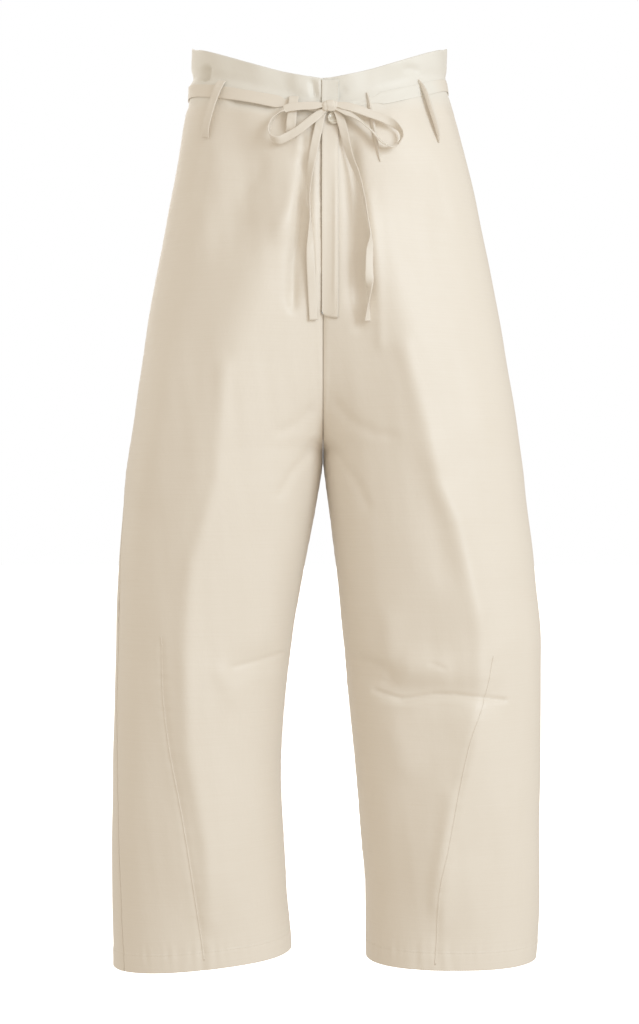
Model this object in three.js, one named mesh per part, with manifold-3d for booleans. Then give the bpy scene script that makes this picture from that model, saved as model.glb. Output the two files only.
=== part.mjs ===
// Barrel-leg trousers with a paper-bag waist and a tie belt, filled out as if worn, and hollow.
// Millimetres. +Z is up, the front faces -Y and the wearer's left is +X. The origin is the centre of the waist,
// at the height of the tie belt at the sides. "right" and "left" are the wearer's.
import * as THREE from "three";
import Module from "manifold-3d";

// ---------- driving dimensions ----------
const CLOTH = 2; // wall of a leg panel, hems and seam allowances included
const SEAM_GAP = 0.3; // between two pieces that touch
const TRIM = 1.2; // thickness of the tie, the loops and the placket
const ROUNDNESS = 2.3; // exponent of the sections: 2 is an ellipse, more is squarer

const TOP = 47; // top edge of the waist at the sides
const CROTCH = -391.6;
const HEM = -936;
const HEM_DEPTH = 19; // turned-up hem
const HEM_STEP = 0.5; // how far the turned-up hem stands proud

// Outline of each half seen from the front: distances from the centre plane to the outer edge of the leg and to its
// inner edge. Above the crotch the inner edge is the centre plane.
const OUTLINE = {
  right: [
    { z: 47, outer: 142.5, inner: 0 },
    { z: 30, outer: 143, inner: 0 },
    { z: 18, outer: 141, inner: 0 },
    { z: 8, outer: 145.5, inner: 0 },
    { z: -10, outer: 146, inner: 0 },
    { z: -22, outer: 149.5, inner: 0 },
    { z: -68, outer: 157, inner: 0 },
    { z: -165, outer: 175.5, inner: 0 },
    { z: -260, outer: 192, inner: 0 },
    { z: -357, outer: 206, inner: 0 },
    { z: CROTCH, outer: 211, inner: 0 },
    { z: -411, outer: 213.5, inner: 2 },
    { z: -432, outer: 215.5, inner: 5.4 },
    { z: -518, outer: 222.5, inner: 21.5 },
    { z: -603, outer: 225.5, inner: 36 },
    { z: -689, outer: 227.5, inner: 44.5 },
    { z: -732, outer: 228.5, inner: 46.4 },
    { z: -817, outer: 230, inner: 42.4 },
    { z: -870, outer: 229.5, inner: 40 },
    { z: HEM, outer: 228, inner: 34.5 },
  ],
  left: [
    { z: 47, outer: 135, inner: 0 },
    { z: 30, outer: 134.8, inner: 0 },
    { z: 20, outer: 133.5, inner: 0 },
    { z: 12, outer: 134.8, inner: 0 },
    { z: 4, outer: 135.6, inner: 0 },
    { z: -4, outer: 138, inner: 0 },
    { z: -10, outer: 139.8, inner: 0 },
    { z: -22, outer: 143, inner: 0 },
    { z: -68, outer: 155.5, inner: 0 },
    { z: -165, outer: 177, inner: 0 },
    { z: -260, outer: 194.5, inner: 0 },
    { z: -357, outer: 211, inner: 0 },
    { z: CROTCH, outer: 216, inner: 0 },
    { z: -411, outer: 218.5, inner: 1.8 },
    { z: -432, outer: 220.5, inner: 4.3 },
    { z: -518, outer: 230.5, inner: 15.2 },
    { z: -603, outer: 237, inner: 23.4 },
    { z: -689, outer: 237, inner: 31.6 },
    { z: -732, outer: 236.5, inner: 36 },
    { z: -817, outer: 236, inner: 43 },
    { z: -870, outer: 235.5, inner: 47 },
    { z: HEM, outer: 232, inner: 47.5 },
  ],
};

// Depth of the garment before and behind the side line, and how far each half is a leg of its own: 0 is one round
// trunk and 1 is where the two legs part.
const DEPTH = [
  { z: 47, front: 93, back: 94, parted: 0 },
  { z: 18, front: 91, back: 92, parted: 0 },
  { z: 0, front: 94, back: 96, parted: 0 },
  { z: -22, front: 98, back: 103, parted: 0 },
  { z: -68, front: 104, back: 116, parted: 0.01 },
  { z: -150, front: 110, back: 134, parted: 0.12 },
  { z: -220, front: 113, back: 143, parted: 0.36 },
  { z: -270, front: 114, back: 143, parted: 0.58 },
  { z: -310, front: 114, back: 140, parted: 0.76 },
  { z: -345, front: 113, back: 136, parted: 0.89 },
  { z: -372, front: 112, back: 132, parted: 0.968 },
  { z: CROTCH, front: 111, back: 129, parted: 1 },
  { z: -480, front: 108, back: 117, parted: 1 },
  { z: -600, front: 107, back: 104, parted: 1 },
  { z: -720, front: 102, back: 98, parted: 1 },
  { z: -820, front: 96, back: 91, parted: 1 },
  { z: HEM, front: 90, back: 84, parted: 1 },
];

// How far a section dips in the middle of the front and of the back, below its height at the sides, and the power
// of the dip's curve: 1 is a straight V and more is rounder.
const DIP = [
  { z: 47, front: 44.5, back: 12, power: 1.5 },
  { z: 0, front: 33, back: 8, power: 1 },
  { z: -70, front: 16, back: 3, power: 1 },
  { z: -150, front: 0, back: 0, power: 1 },
  { z: HEM, front: 0, back: 0, power: 1 },
];
const HEM_TILT = { right: -9, left: 0 }; // the outer edge of the hem hangs lower than its middle
const HEM_TILT_FROM = -760;

// Where the outer side seam runs, in degrees from the side line towards the front.
const SIDE_SEAM = {
  right: [
    { z: 47, turn: 0 },
    { z: -300, turn: 3 },
    { z: -520, turn: 22 },
    { z: -690, turn: 29 },
    { z: -790, turn: 33 },
    { z: HEM, turn: 35 },
  ],
  left: [
    { z: 47, turn: 0 },
    { z: -300, turn: -2 },
    { z: HEM, turn: -8 },
  ],
};

// The largest folds. Each runs through the listed x and z on the front or the back, and pushes the cloth out by
// height (in when negative), fading over reach to each side.
const FOLDS = [
  { face: "front", height: 9, reach: 32,
    path: [[-16, -80], [-30, -125], [-56, -180], [-92, -284], [-116, -389], [-129, -493],
      [-145, -598], [-141, -702], [-122, -807], [-118, -905]] },
  { face: "front", height: 10, reach: 32,
    path: [[36, -75], [46, -120], [57, -180], [91, -284], [107, -389], [126, -493],
      [159, -598], [155, -702], [128, -807], [124, -905]] },
  { face: "front", height: -5, reach: 15,
    path: [[22, -608], [52, -628], [80, -642], [119, -641], [164, -645], [197, -649]] },
  { face: "front", height: 4, reach: 18, path: [[72, -612], [105, -618], [140, -622]] },
  { face: "front", height: -2.5, reach: 14, path: [[-38, -603], [-70, -612], [-104, -617]] },
  { face: "front", height: -5, reach: 11, path: [[24, -55], [29, -95], [33, -145], [33, -200], [36, -255]] },
  { face: "front", height: -4, reach: 9, path: [[-22, -70], [-24, -130], [-27, -190], [-33, -245]] },
  { face: "front", height: -3, reach: 10, path: [[-60, -70], [-72, -100], [-95, -125]] },
  { face: "front", height: 3, reach: 22, path: [[-120, -90], [-140, -200], [-165, -330], [-190, -470]] },
  { face: "front", height: -3, reach: 24, path: [[-165, -560], [-168, -680], [-165, -800]] },
  { face: "back", height: 6, reach: 26,
    path: [[-80, -260], [-100, -400], [-122, -560], [-128, -700], [-122, -930]] },
  { face: "back", height: 6, reach: 26,
    path: [[78, -250], [104, -400], [128, -560], [135, -700], [130, -930]] },
  { face: "back", height: -5, reach: 16, path: [[-20, -330], [-60, -350], [-105, -338], [-150, -318]] },
  { face: "back", height: -5, reach: 16, path: [[22, -335], [64, -352], [110, -336], [158, -312]] },
  { face: "back", height: -4, reach: 15, path: [[-52, -600], [-100, -612], [-160, -596]] },
  { face: "back", height: -5, reach: 15, path: [[38, -606], [95, -622], [160, -604]] },
  { face: "back", height: -4, reach: 12, path: [[-48, -40], [-55, -110], [-66, -170]] },
  { face: "back", height: -4, reach: 12, path: [[44, -40], [52, -105], [60, -180]] },
];

// Gathers of the waist: their number round each half, how far below the tie they reach, where the left half's wave
// starts in radians, and their depth at the top edge and below the tie.
const GATHERS = { count: 7, reach: 60, shift: { right: 0, left: 0.6 } };
const GATHER_DEPTH = { front: { top: 1.2, below: 0.9 }, back: { top: 1.8, below: 1.6 } };

// Folds and gathers die away over this share of the turn at the side line, down to a part of their full depth.
const CALM_SIDE = { turn: 0.2, kept: 0.15 };

// The long dart that narrows each front leg from the knee to the hem: where its seam runs, and how deep it sinks.
const DART = {
  depth: 0.9,
  reach: 3.5,
  right: [[-168, -583], [-167, -642], [-161, -697], [-147, -773], [-136, -845], [-125, -925]],
  left: [[175, -604], [167.5, -647], [154.5, -685], [141.5, -747], [131, -808], [123.5, -849], [118, -930]],
};

// Heights of the sections of a leg panel, from the top edge to the hem.
const SECTIONS = [
  47, 38, 28, 18, 8, -1, -10, -22, -38, -58, -84, -114, -148, -184, -220, -254, -284, -310, -332, -350, -365, -377,
  -385, -389.5, CROTCH, -400, -414, -436, -464, -496, -530, -562, -588, -606, -622, -636, -648, -664, -692, -730, -770,
  -810, -850, -882, HEM + HEM_DEPTH + 1, HEM + HEM_DEPTH - 1, HEM,
];
const FRONT_COLUMNS = 16;
const BACK_COLUMNS = 12;
// The outer share of the columns keeps its place round the leg where the two legs join, and the rest closes up.
const HELD = { columns: 0.6, turn: 0.72 };

// Tie belt and the long loops that carry it. A loop bows out by bulge and turns by twist degrees at its middle.
// The belt rises off the cloth where it enters the knot, narrows to a neck before it, and lies higher at the sides
// than its own line.
const BELT = { width: 13.5, columns: 34, gap: 0.75, rise: 2.6, riseFrom: 34, neck: 7.5, neckFrom: 46, neckTo: 56 };
const BELT_START = { right: 0.02, left: 0.165 }; // radians from the middle of the front
const BELT_LIFT = { right: 1.5, left: 9, power: 4 };
const LOOP = { width: 10, steps: 10, gap: 0.75, crowding: 0.09, flatness: 4 };
const LOOPS = [
  { name: "belt_loop_front_right_outer", face: "front", top: [-106.5, 4], foot: [-124, -56.5], bulge: 5, twist: 0 },
  { name: "belt_loop_front_right_inner", face: "front", top: [-30.5, -17], foot: [-34, -56], bulge: 4.4, twist: 0 },
  { name: "belt_loop_front_left_inner", face: "front", top: [46, -12], foot: [59.5, -87], bulge: 3.8, twist: 12 },
  { name: "belt_loop_front_left_outer", face: "front", top: [101, 6], foot: [122.5, -62], bulge: 7.5, twist: 50 },
  { name: "belt_loop_back_right", face: "back", top: [-74, 10], foot: [-80, -52], bulge: 4.5, twist: 0 },
  { name: "belt_loop_back_centre", face: "back", top: [0, 7], foot: [0, -54], bulge: 4.5, twist: 0 },
  { name: "belt_loop_back_left", face: "back", top: [74, 10], foot: [80, -52], bulge: 4.5, twist: 0 },
];

// Fly: a placket that laps over the centre seam, and the button that closes the waist on it.
const PLACKET = { from: -1.5, to: 16, belowTop: 1.5, foot: -251, corner: 8, rows: 18, gap: 0.8 };
const BUTTON = { x: 11.7, z: -41.5, radius: 7, thickness: 2.6, edge: 0.6, rim: 1.3, dish: 0.9, seat: 0.5 };

// The knot, and the tie's four free runs out of it. A route lists where the middle of the tie runs, how far it lies
// off the cloth, and its twist in degrees: 0 is flat on the cloth and 90 is edge on.
const KNOT = { x: 7.5, z: -30.5, lift: 8.4, radii: [9.8, 4.6, 6.4] };
const TIE = { width: 9, step: 5, atKnot: 0.45, opensOver: 15 };
const ROUTES = {
  tie_bow_right: [
    { x: 4, z: -30, lift: 10, twist: 0 },
    { x: -10, z: -30.8, lift: 10.2, twist: 0 },
    { x: -28, z: -31.8, lift: 9.8, twist: 0 },
    { x: -40, z: -34, lift: 9.4, twist: 40 },
    { x: -48, z: -40, lift: 9, twist: 80 },
    { x: -53.5, z: -47.5, lift: 8.6, twist: 92 },
    { x: -55.5, z: -55, lift: 8.4, twist: 92 },
    { x: -53, z: -63, lift: 8.2, twist: 78 },
    { x: -46, z: -66.5, lift: 8, twist: 40 },
    { x: -36, z: -62.5, lift: 7.8, twist: 10 },
    { x: -25, z: -56, lift: 7.8, twist: 0 },
    { x: -13, z: -46, lift: 7.8, twist: 0 },
    { x: -3, z: -38, lift: 8, twist: 0 },
    { x: 5, z: -33, lift: 8.2, twist: 0 },
  ],
  tie_bow_left: [
    { x: 10, z: -29, lift: 10, twist: 0 },
    { x: 18, z: -30.2, lift: 10.2, twist: 0 },
    { x: 32, z: -33.6, lift: 10.2, twist: 0 },
    { x: 48.8, z: -38.9, lift: 9.8, twist: 0 },
    { x: 62, z: -43.6, lift: 9.4, twist: 10 },
    { x: 71.5, z: -48.8, lift: 9, twist: 50 },
    { x: 78.5, z: -55.5, lift: 8.6, twist: 84 },
    { x: 80, z: -62, lift: 8.4, twist: 90 },
    { x: 76.5, z: -68.5, lift: 8.4, twist: 80 },
    { x: 69.5, z: -72.3, lift: 9, twist: 60 },
    { x: 60.5, z: -69.5, lift: 11, twist: 60 },
    { x: 48.8, z: -57.1, lift: 11.6, twist: 62 },
    { x: 35.5, z: -45.5, lift: 11.2, twist: 54 },
    { x: 24, z: -38.4, lift: 9.8, twist: 24 },
    { x: 13, z: -33, lift: 8.8, twist: 0 },
  ],
  tie_tail_right: [
    { x: 4, z: -33, lift: 5.9, twist: 0 },
    { x: -2.5, z: -42, lift: 5.7, twist: 0 },
    { x: -5, z: -53, lift: 5, twist: 0 },
    { x: -9.4, z: -74, lift: 4.6, twist: 10 },
    { x: -14, z: -104, lift: 5.6, twist: 50 },
    { x: -14.8, z: -126, lift: 6, twist: 76 },
    { x: -13.6, z: -144, lift: 6, twist: 92 },
    { x: -13.4, z: -166, lift: 5.6, twist: 126 },
    { x: -13.6, z: -187, lift: 4.6, twist: 168 },
    { x: -12.6, z: -215, lift: 3.6, twist: 180 },
    { x: -11, z: -253, lift: 2.6, twist: 180 },
  ],
  tie_tail_left: [
    { x: 12, z: -34, lift: 6.6, twist: 0 },
    { x: 17.5, z: -43, lift: 6.6, twist: 4 },
    { x: 20.5, z: -53, lift: 6.2, twist: 14 },
    { x: 24, z: -68, lift: 6, twist: 34 },
    { x: 28.5, z: -83, lift: 6.4, twist: 52 },
    { x: 35, z: -101, lift: 6.8, twist: 66 },
    { x: 40.4, z: -123, lift: 7.6, twist: 82 },
    { x: 45, z: -148, lift: 7.4, twist: 110 },
    { x: 48.6, z: -169, lift: 7, twist: 146 },
    { x: 47.6, z: -184, lift: 6.6, twist: 190 },
    { x: 47.6, z: -203, lift: 6.6, twist: 220 },
    { x: 48, z: -222, lift: 6.6, twist: 262 },
    { x: 47.4, z: -240, lift: 5.2, twist: 320 },
    { x: 46.7, z: -255, lift: 3.4, twist: 350 },
  ],
};

const IVORY = { color: "#e6dac6", roughness: 0.5, metalness: 0 };
const SHELL = { color: "#ded6c4", roughness: 0.25, metalness: 0 };

const MIRROR = { right: -1, left: 1 };
const HALVINGS = 36; // of the span in which an angle is looked for
const SEGMENTS = { button: 24, knotRound: 20, knotAcross: 14 };

// ---------- small helpers ----------
const V = (x, y, z) => new THREE.Vector3(x, y, z);
const clamp01 = (t) => Math.min(1, Math.max(0, t));
const smooth = (t) => clamp01(t) ** 2 * (3 - 2 * clamp01(t));
const radians = THREE.MathUtils.degToRad;

// A column of a table at height z, without overshoot between its rows.
function at(table, key, z) {
  const last = table.length - 1;
  if (z >= table[0].z) return table[0][key];
  if (z <= table[last].z) return table[last][key];
  const i = table.findIndex((row, k) => k < last && z <= row.z && z >= table[k + 1].z);
  const slope = (k) => (table[k + 1][key] - table[k][key]) / (table[k + 1].z - table[k].z);
  const tangent = (k) => {
    if (k === 0) return slope(0);
    if (k === last) return slope(last - 1);
    const [a, b] = [slope(k - 1), slope(k)];
    return a * b <= 0 ? 0 : (2 * a * b) / (a + b);
  };
  const span = table[i + 1].z - table[i].z;
  const t = (z - table[i].z) / span;
  return (
    (2 * t ** 3 - 3 * t ** 2 + 1) * table[i][key] +
    (t ** 3 - 2 * t ** 2 + t) * span * tangent(i) +
    (3 * t ** 2 - 2 * t ** 3) * table[i + 1][key] +
    (t ** 3 - t ** 2) * span * tangent(i + 1)
  );
}

// How near x, z is to a path, from 1 on it to 0 far off, fading at its two ends.
function nearness(path, reach, x, z) {
  let best = { away: Infinity, along: 0 };
  let long = 0;
  for (let i = 0; i + 1 < path.length; i++) {
    const [ax, az] = path[i];
    const [dx, dz] = [path[i + 1][0] - ax, path[i + 1][1] - az];
    const length = Math.hypot(dx, dz);
    const t = clamp01(((x - ax) * dx + (z - az) * dz) / length ** 2);
    const away = Math.hypot(x - ax - t * dx, z - az - t * dz);
    if (away < best.away) best = { away, along: long + t * length };
    long += length;
  }
  const fade = Math.min(long / 3, 2.5 * reach);
  const ends = smooth(best.along / fade) * smooth((long - best.along) / fade);
  return Math.exp(-((best.away / reach) ** 2)) * ends;
}

// ---------- the cloth surface ----------
// A half's section at height z, as the centre and half width of a rounded ring.
function section(side, z) {
  const outer = at(OUTLINE[side], "outer", z);
  const inner = at(OUTLINE[side], "inner", z);
  const parted = at(DEPTH, "parted", z);
  if (z <= CROTCH) return { centre: (outer + inner) / 2, half: (outer - inner) / 2 };
  return { centre: (outer * parted) / (1 + parted), half: outer / (1 + parted) };
}

// The smooth cloth at an angle round a section: 0 is the side line, 90 degrees the front and -90 the back.
// The result is for the wearer's left, mirrored for the right.
function bare(side, angle, z) {
  const { centre, half } = section(side, z);
  const face = Math.sin(angle) >= 0 ? "front" : "back";
  const depth = at(DEPTH, face, z);
  const radius =
    (Math.abs(Math.cos(angle) / half) ** ROUNDNESS + Math.abs(Math.sin(angle) / depth) ** ROUNDNESS) **
    (-1 / ROUNDNESS);
  const x = centre + radius * Math.cos(angle);
  const outer = centre + half;
  const dip = at(DIP, face, z) * (1 - clamp01(x / outer) ** at(DIP, "power", z));
  const tilt = HEM_TILT[side] * smooth((HEM_TILT_FROM - z) / (HEM_TILT_FROM - HEM)) * Math.cos(angle);
  return V(MIRROR[side] * x, -radius * Math.sin(angle), z - dip + tilt);
}

// How far folds, gathers, dart and hem push the cloth out.
function relief(side, angle, z, p) {
  const face = Math.sin(angle) >= 0 ? "front" : "back";
  let out = 0;
  for (const fold of FOLDS)
    if (fold.face === face) out += fold.height * nearness(fold.path, fold.reach, p.x, p.z);
  if (face === "front") out -= DART.depth * nearness(DART[side], DART.reach, p.x, p.z);
  const wave = Math.cos(angle * GATHERS.count * 2 + GATHERS.shift[side]);
  const aboveTie = smooth((z - 4) / (TOP - 4));
  const belowTie = smooth(-(z + 6) / 14) * smooth(1 + (z + 20) / GATHERS.reach);
  out += wave * (GATHER_DEPTH[face].top * aboveTie + GATHER_DEPTH[face].below * belowTie);
  if (z < HEM + HEM_DEPTH) out += HEM_STEP;
  return out * smooth(Math.abs(Math.sin(angle)) / CALM_SIDE.turn + CALM_SIDE.kept);
}

// A point of the cloth's outer face with its outward normal.
function cloth(side, angle, z) {
  const step = { angle: 0.02, z: 2 };
  const moved = (a, h) => bare(side, a, h);
  const round = moved(angle + step.angle, z).sub(moved(angle - step.angle, z));
  const down = moved(angle, z - step.z).sub(moved(angle, z + step.z));
  const normal = round.cross(down).normalize();
  if (side === "right") normal.negate();
  const point = bare(side, angle, z);
  point.addScaledVector(normal, relief(side, angle, z, point));
  return { point, normal };
}

// The angle at which a half comes within a distance of the centre plane, towards the front or the back.
function angleAt(side, facing, z, distance) {
  let [low, high] = [0, Math.PI];
  for (let i = 0; i < HALVINGS; i++) {
    const middle = (low + high) / 2;
    if (MIRROR[side] * bare(side, facing * middle, z).x > distance) low = middle;
    else high = middle;
  }
  return facing * low;
}

// The cloth at x, z on the front or the back, with its normal.
function clothAt(face, x, z) {
  const side = x >= 0 ? "left" : "right";
  const facing = face === "front" ? 1 : -1;
  let row = z;
  let angle;
  for (let round = 0; round < 8; round++) {
    angle = angleAt(side, facing, row, Math.abs(x));
    row += z - bare(side, angle, row).z;
  }
  return cloth(side, angle, row);
}

// ---------- solids ----------
function meshOf(name, positions, triangles, look) {
  const geometry = new THREE.BufferGeometry();
  geometry.setAttribute("position", new THREE.Float32BufferAttribute(positions.flatMap((p) => p.toArray()), 3));
  let volume = 0;
  for (const [a, b, c] of triangles) volume += positions[a].dot(V(0, 0, 0).crossVectors(positions[b], positions[c]));
  geometry.setIndex(triangles.flatMap(([a, b, c]) => (volume > 0 ? [a, b, c] : [a, c, b])));
  geometry.computeVertexNormals();
  const mesh = new THREE.Mesh(geometry, new THREE.MeshStandardMaterial(look));
  mesh.name = name;
  return mesh;
}

// A closed wall between two grids of points, one its outer face and one its inner face.
function wall(name, outer, inner, look) {
  const [rows, columns] = [outer.length, outer[0].length];
  const positions = [...outer.flat(), ...inner.flat()];
  const triangles = [];
  const quad = (a, b, c, d) => triangles.push([a, b, c], [a, c, d]);
  const face = (i, j) => i * columns + j;
  const back = (i, j) => rows * columns + face(i, j);
  for (let i = 0; i + 1 < rows; i++)
    for (let j = 0; j + 1 < columns; j++) {
      quad(face(i, j), face(i + 1, j), face(i + 1, j + 1), face(i, j + 1));
      quad(back(i, j), back(i, j + 1), back(i + 1, j + 1), back(i + 1, j));
    }
  for (let i = 0; i + 1 < rows; i++) {
    quad(face(i, 0), back(i, 0), back(i + 1, 0), face(i + 1, 0));
    quad(face(i, columns - 1), face(i + 1, columns - 1), back(i + 1, columns - 1), back(i, columns - 1));
  }
  for (let j = 0; j + 1 < columns; j++) {
    quad(face(0, j), face(0, j + 1), back(0, j + 1), back(0, j));
    quad(face(rows - 1, j), back(rows - 1, j), back(rows - 1, j + 1), face(rows - 1, j + 1));
  }
  return meshOf(name, positions, triangles, look);
}

// One leg panel, from the side seam to the centre seam and, below the crotch, to the inner seam.
function legPanel(side, face) {
  const facing = face === "front" ? 1 : -1;
  const columns = face === "front" ? FRONT_COLUMNS : BACK_COLUMNS;
  const mirror = MIRROR[side];
  const outer = [];
  const inner = [];
  for (const z of SECTIONS) {
    const allowance = SEAM_GAP / 2 / section(side, z).half;
    const start = radians(at(SIDE_SEAM[side], "turn", z)) + facing * allowance;
    const end = z <= CROTCH ? facing * (Math.PI - allowance) : angleAt(side, facing, z, SEAM_GAP / 2);
    const held = facing * Math.min(HELD.columns * Math.PI, HELD.turn * Math.abs(end));
    const outerRow = [];
    const innerRow = [];
    for (let j = 0; j <= columns; j++) {
      const share = j / columns;
      const beyond = (share - HELD.columns) / (1 - HELD.columns);
      const angle = beyond < 0 ? start + ((held - start) * share) / HELD.columns : held + (end - held) * beyond;
      const { point, normal } = cloth(side, angle, z);
      const behind = point.clone().addScaledVector(normal, -CLOTH);
      for (const p of [point, behind]) p.x = mirror * Math.max(mirror * p.x, SEAM_GAP / 2);
      outerRow.push(point);
      innerRow.push(behind);
    }
    outer.push(outerRow);
    inner.push(innerRow);
  }
  return wall(`${face}_${side}`, outer, inner, IVORY);
}

// The part of the tie that goes round the waist, from the knot round the back to the knot.
function tieBelt() {
  const outer = [[], [], []];
  const inner = [[], [], []];
  const add = (side, angle) => {
    const outward = Math.abs(bare(side, angle, 0).x) / at(OUTLINE[side], "outer", 0);
    const lift = BELT_LIFT[side] * outward ** BELT_LIFT.power;
    const fromKnot = Math.abs(bare(side, angle, 0).x - KNOT.x);
    const opened = angle > 0 ? smooth((fromKnot - BELT.neckFrom) / (BELT.neckTo - BELT.neckFrom)) : 1;
    const half = (BELT.neck + (BELT.width - BELT.neck) * opened) / 2;
    [half, 0, -half].forEach((z, i) => {
      const { point, normal } = cloth(side, angle, z + lift);
      const rise = angle > 0 ? BELT.rise * smooth(1 - (Math.abs(point.x) - KNOT.x) / BELT.riseFrom) : 0;
      inner[i].push(point.clone().addScaledVector(normal, BELT.gap + rise));
      outer[i].push(point.clone().addScaledVector(normal, BELT.gap + rise + TRIM));
    });
  };
  const [front, back] = [Math.PI / 2, -Math.PI / 2];
  const turn = (from, to, j) => from + ((to - from) * j) / BELT.columns;
  for (let j = 0; j <= BELT.columns; j++) add("right", turn(front - BELT_START.right, back, j));
  for (let j = 1; j <= BELT.columns; j++) add("left", turn(back, front - BELT_START.left, j));
  return wall("tie_belt", outer, inner, IVORY);
}

// A strap through points with the direction of its width at each.
function strap(name, points, across, widthAt, look) {
  const faces = [[], [], [], []];
  points.forEach((p, i) => {
    const along = points[Math.min(i + 1, points.length - 1)].clone().sub(points[Math.max(i - 1, 0)]).normalize();
    const wide = across[i].clone().addScaledVector(along, -across[i].dot(along)).normalize();
    const thick = along.clone().cross(wide);
    const width = widthAt(i / (points.length - 1));
    [[1, 1], [-1, 1], [1, -1], [-1, -1]].forEach(([w, t], k) => {
      faces[k].push(p.clone().addScaledVector(wide, (w * width) / 2).addScaledVector(thick, (t * TRIM) / 2));
    });
  });
  return wall(name, [faces[0], faces[1]], [faces[2], faces[3]], look);
}

function beltLoop({ name, face, top, foot, bulge, twist }) {
  const points = [];
  const across = [];
  for (let i = 0; i <= LOOP.steps; i++) {
    const share = i / LOOP.steps;
    const eased = share - LOOP.crowding * Math.sin(2 * Math.PI * share); // steps lie closer at the two ends
    const [x, z] = [0, 1].map((k) => top[k] + (foot[k] - top[k]) * eased);
    const { point, normal } = clothAt(face, x, z);
    const lift = LOOP.gap + TRIM / 2 + bulge * (1 - Math.abs(2 * eased - 1) ** LOOP.flatness);
    points.push(point.addScaledVector(normal, lift));
    const along = V(foot[0] - top[0], 0, foot[1] - top[1]).normalize();
    const turn = radians(twist * Math.sin(Math.PI * eased));
    across.push(along.clone().cross(normal).applyAxisAngle(along, turn));
  }
  return strap(name, points, across, () => LOOP.width, IVORY);
}

function placket() {
  const top = TOP - at(DIP, "front", TOP) - PLACKET.belowTop;
  const outer = [];
  const inner = [];
  for (let i = 0; i <= PLACKET.rows; i++) {
    const [outerRow, innerRow] = [[], []];
    for (const share of [0, 0.12, 0.35, 0.7, 1]) {
      const x = PLACKET.from + (PLACKET.to - PLACKET.from) * share;
      const corner = PLACKET.corner * (1 - Math.sqrt(1 - (1 - share) ** 2)); // the free corner is cut round
      const z = top + (PLACKET.foot + corner - top) * (i / PLACKET.rows);
      const { point, normal } = clothAt("front", Math.abs(x) < 1 ? 1 : x, z); // clear of the centre seam
      point.x = x;
      innerRow.push(point.clone().addScaledVector(normal, PLACKET.gap));
      outerRow.push(point.clone().addScaledVector(normal, PLACKET.gap + TRIM));
    }
    outer.push(outerRow);
    inner.push(innerRow);
  }
  return wall("fly_placket", outer, inner, IVORY);
}

// A round button with a raised rim, lying on the placket.
function button() {
  const { radius, thickness, edge, rim, dish } = BUTTON;
  const profile = [
    [0, 0], [radius - edge, 0], [radius, edge], [radius, thickness - edge], [radius - edge, thickness],
    [radius - rim, thickness], [radius - rim - dish, thickness - dish], [0, thickness - dish],
  ].map(([r, h]) => new THREE.Vector2(r, h));
  const turned = new THREE.LatheGeometry(profile, SEGMENTS.button);
  const mesh = new THREE.Mesh(turned, new THREE.MeshStandardMaterial(SHELL));
  const { point, normal } = clothAt("front", BUTTON.x, BUTTON.z);
  mesh.quaternion.setFromUnitVectors(V(0, 1, 0), normal);
  mesh.position.copy(point.addScaledVector(normal, PLACKET.gap + TRIM + SEAM_GAP + BUTTON.seat));
  mesh.name = "waist_button";
  return mesh;
}

function knotGeometry(grown) {
  const { point, normal } = clothAt("front", KNOT.x, KNOT.z);
  const centre = point.addScaledVector(normal, KNOT.lift);
  const [x, y, z] = KNOT.radii.map((r) => r + grown);
  const ball = new THREE.SphereGeometry(1, SEGMENTS.knotRound, SEGMENTS.knotAcross);
  return ball.scale(x, y, z).translate(centre.x, centre.y, centre.z);
}

function tieKnot() {
  const mesh = new THREE.Mesh(knotGeometry(0), new THREE.MeshStandardMaterial(IVORY));
  mesh.name = "tie_knot";
  return mesh;
}

// A smooth curve through a route's rows, with the tie's width direction at each of its points.
function tieRun(name, rows) {
  const returns = name.startsWith("tie_bow");
  const spots = rows.map(({ x, z, lift }) => {
    const { point, normal } = clothAt("front", x, z);
    return point.addScaledVector(normal, lift);
  });
  const curve = new THREE.CatmullRomCurve3(spots, false, "centripetal");
  const twists = new THREE.CatmullRomCurve3(rows.map(({ twist }) => V(twist, 0, 0)), false, "catmullrom", 0.5);
  const length = curve.getLength();
  const steps = Math.round(length / TIE.step);
  const opened = (t) => {
    const start = smooth((t * length) / TIE.opensOver);
    return returns ? start * smooth(((1 - t) * length) / TIE.opensOver) : start;
  };
  const widthAt = (t) => TIE.width * (TIE.atKnot + (1 - TIE.atKnot) * opened(t));
  const points = [];
  const across = [];
  for (let i = 0; i <= steps; i++) {
    const t = i / steps;
    const point = curve.getPoint(t);
    const along = curve.getTangent(t);
    const normal = clothAt("front", point.x, point.z).normal;
    const flat = along.clone().cross(normal).normalize();
    points.push(point);
    across.push(flat.applyAxisAngle(along, radians(twists.getPoint(t).x)));
  }
  return strap(name, points, across, widthAt, IVORY);
}

// ---------- cuts ----------
const wasm = await Module();
wasm.setup();

function solid(geometry, matrix) {
  const loose = geometry.index ? geometry.toNonIndexed() : geometry.clone();
  const position = loose.applyMatrix4(matrix).getAttribute("position");
  const corners = new Map();
  const vertProperties = [];
  const triVerts = new Uint32Array(position.count);
  for (let i = 0; i < position.count; i++) {
    const p = [position.getX(i), position.getY(i), position.getZ(i)];
    const key = p.map((v) => v.toFixed(4)).join();
    if (!corners.has(key)) {
      corners.set(key, corners.size);
      vertProperties.push(...p);
    }
    triVerts[i] = corners.get(key);
  }
  const kept = [];
  for (let i = 0; i < triVerts.length; i += 3) {
    const [a, b, c] = triVerts.subarray(i, i + 3);
    if (a !== b && b !== c && c !== a) kept.push(a, b, c);
  }
  return new wasm.Manifold(
    new wasm.Mesh({ numProp: 3, vertProperties: new Float32Array(vertProperties), triVerts: new Uint32Array(kept) }),
  );
}

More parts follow.
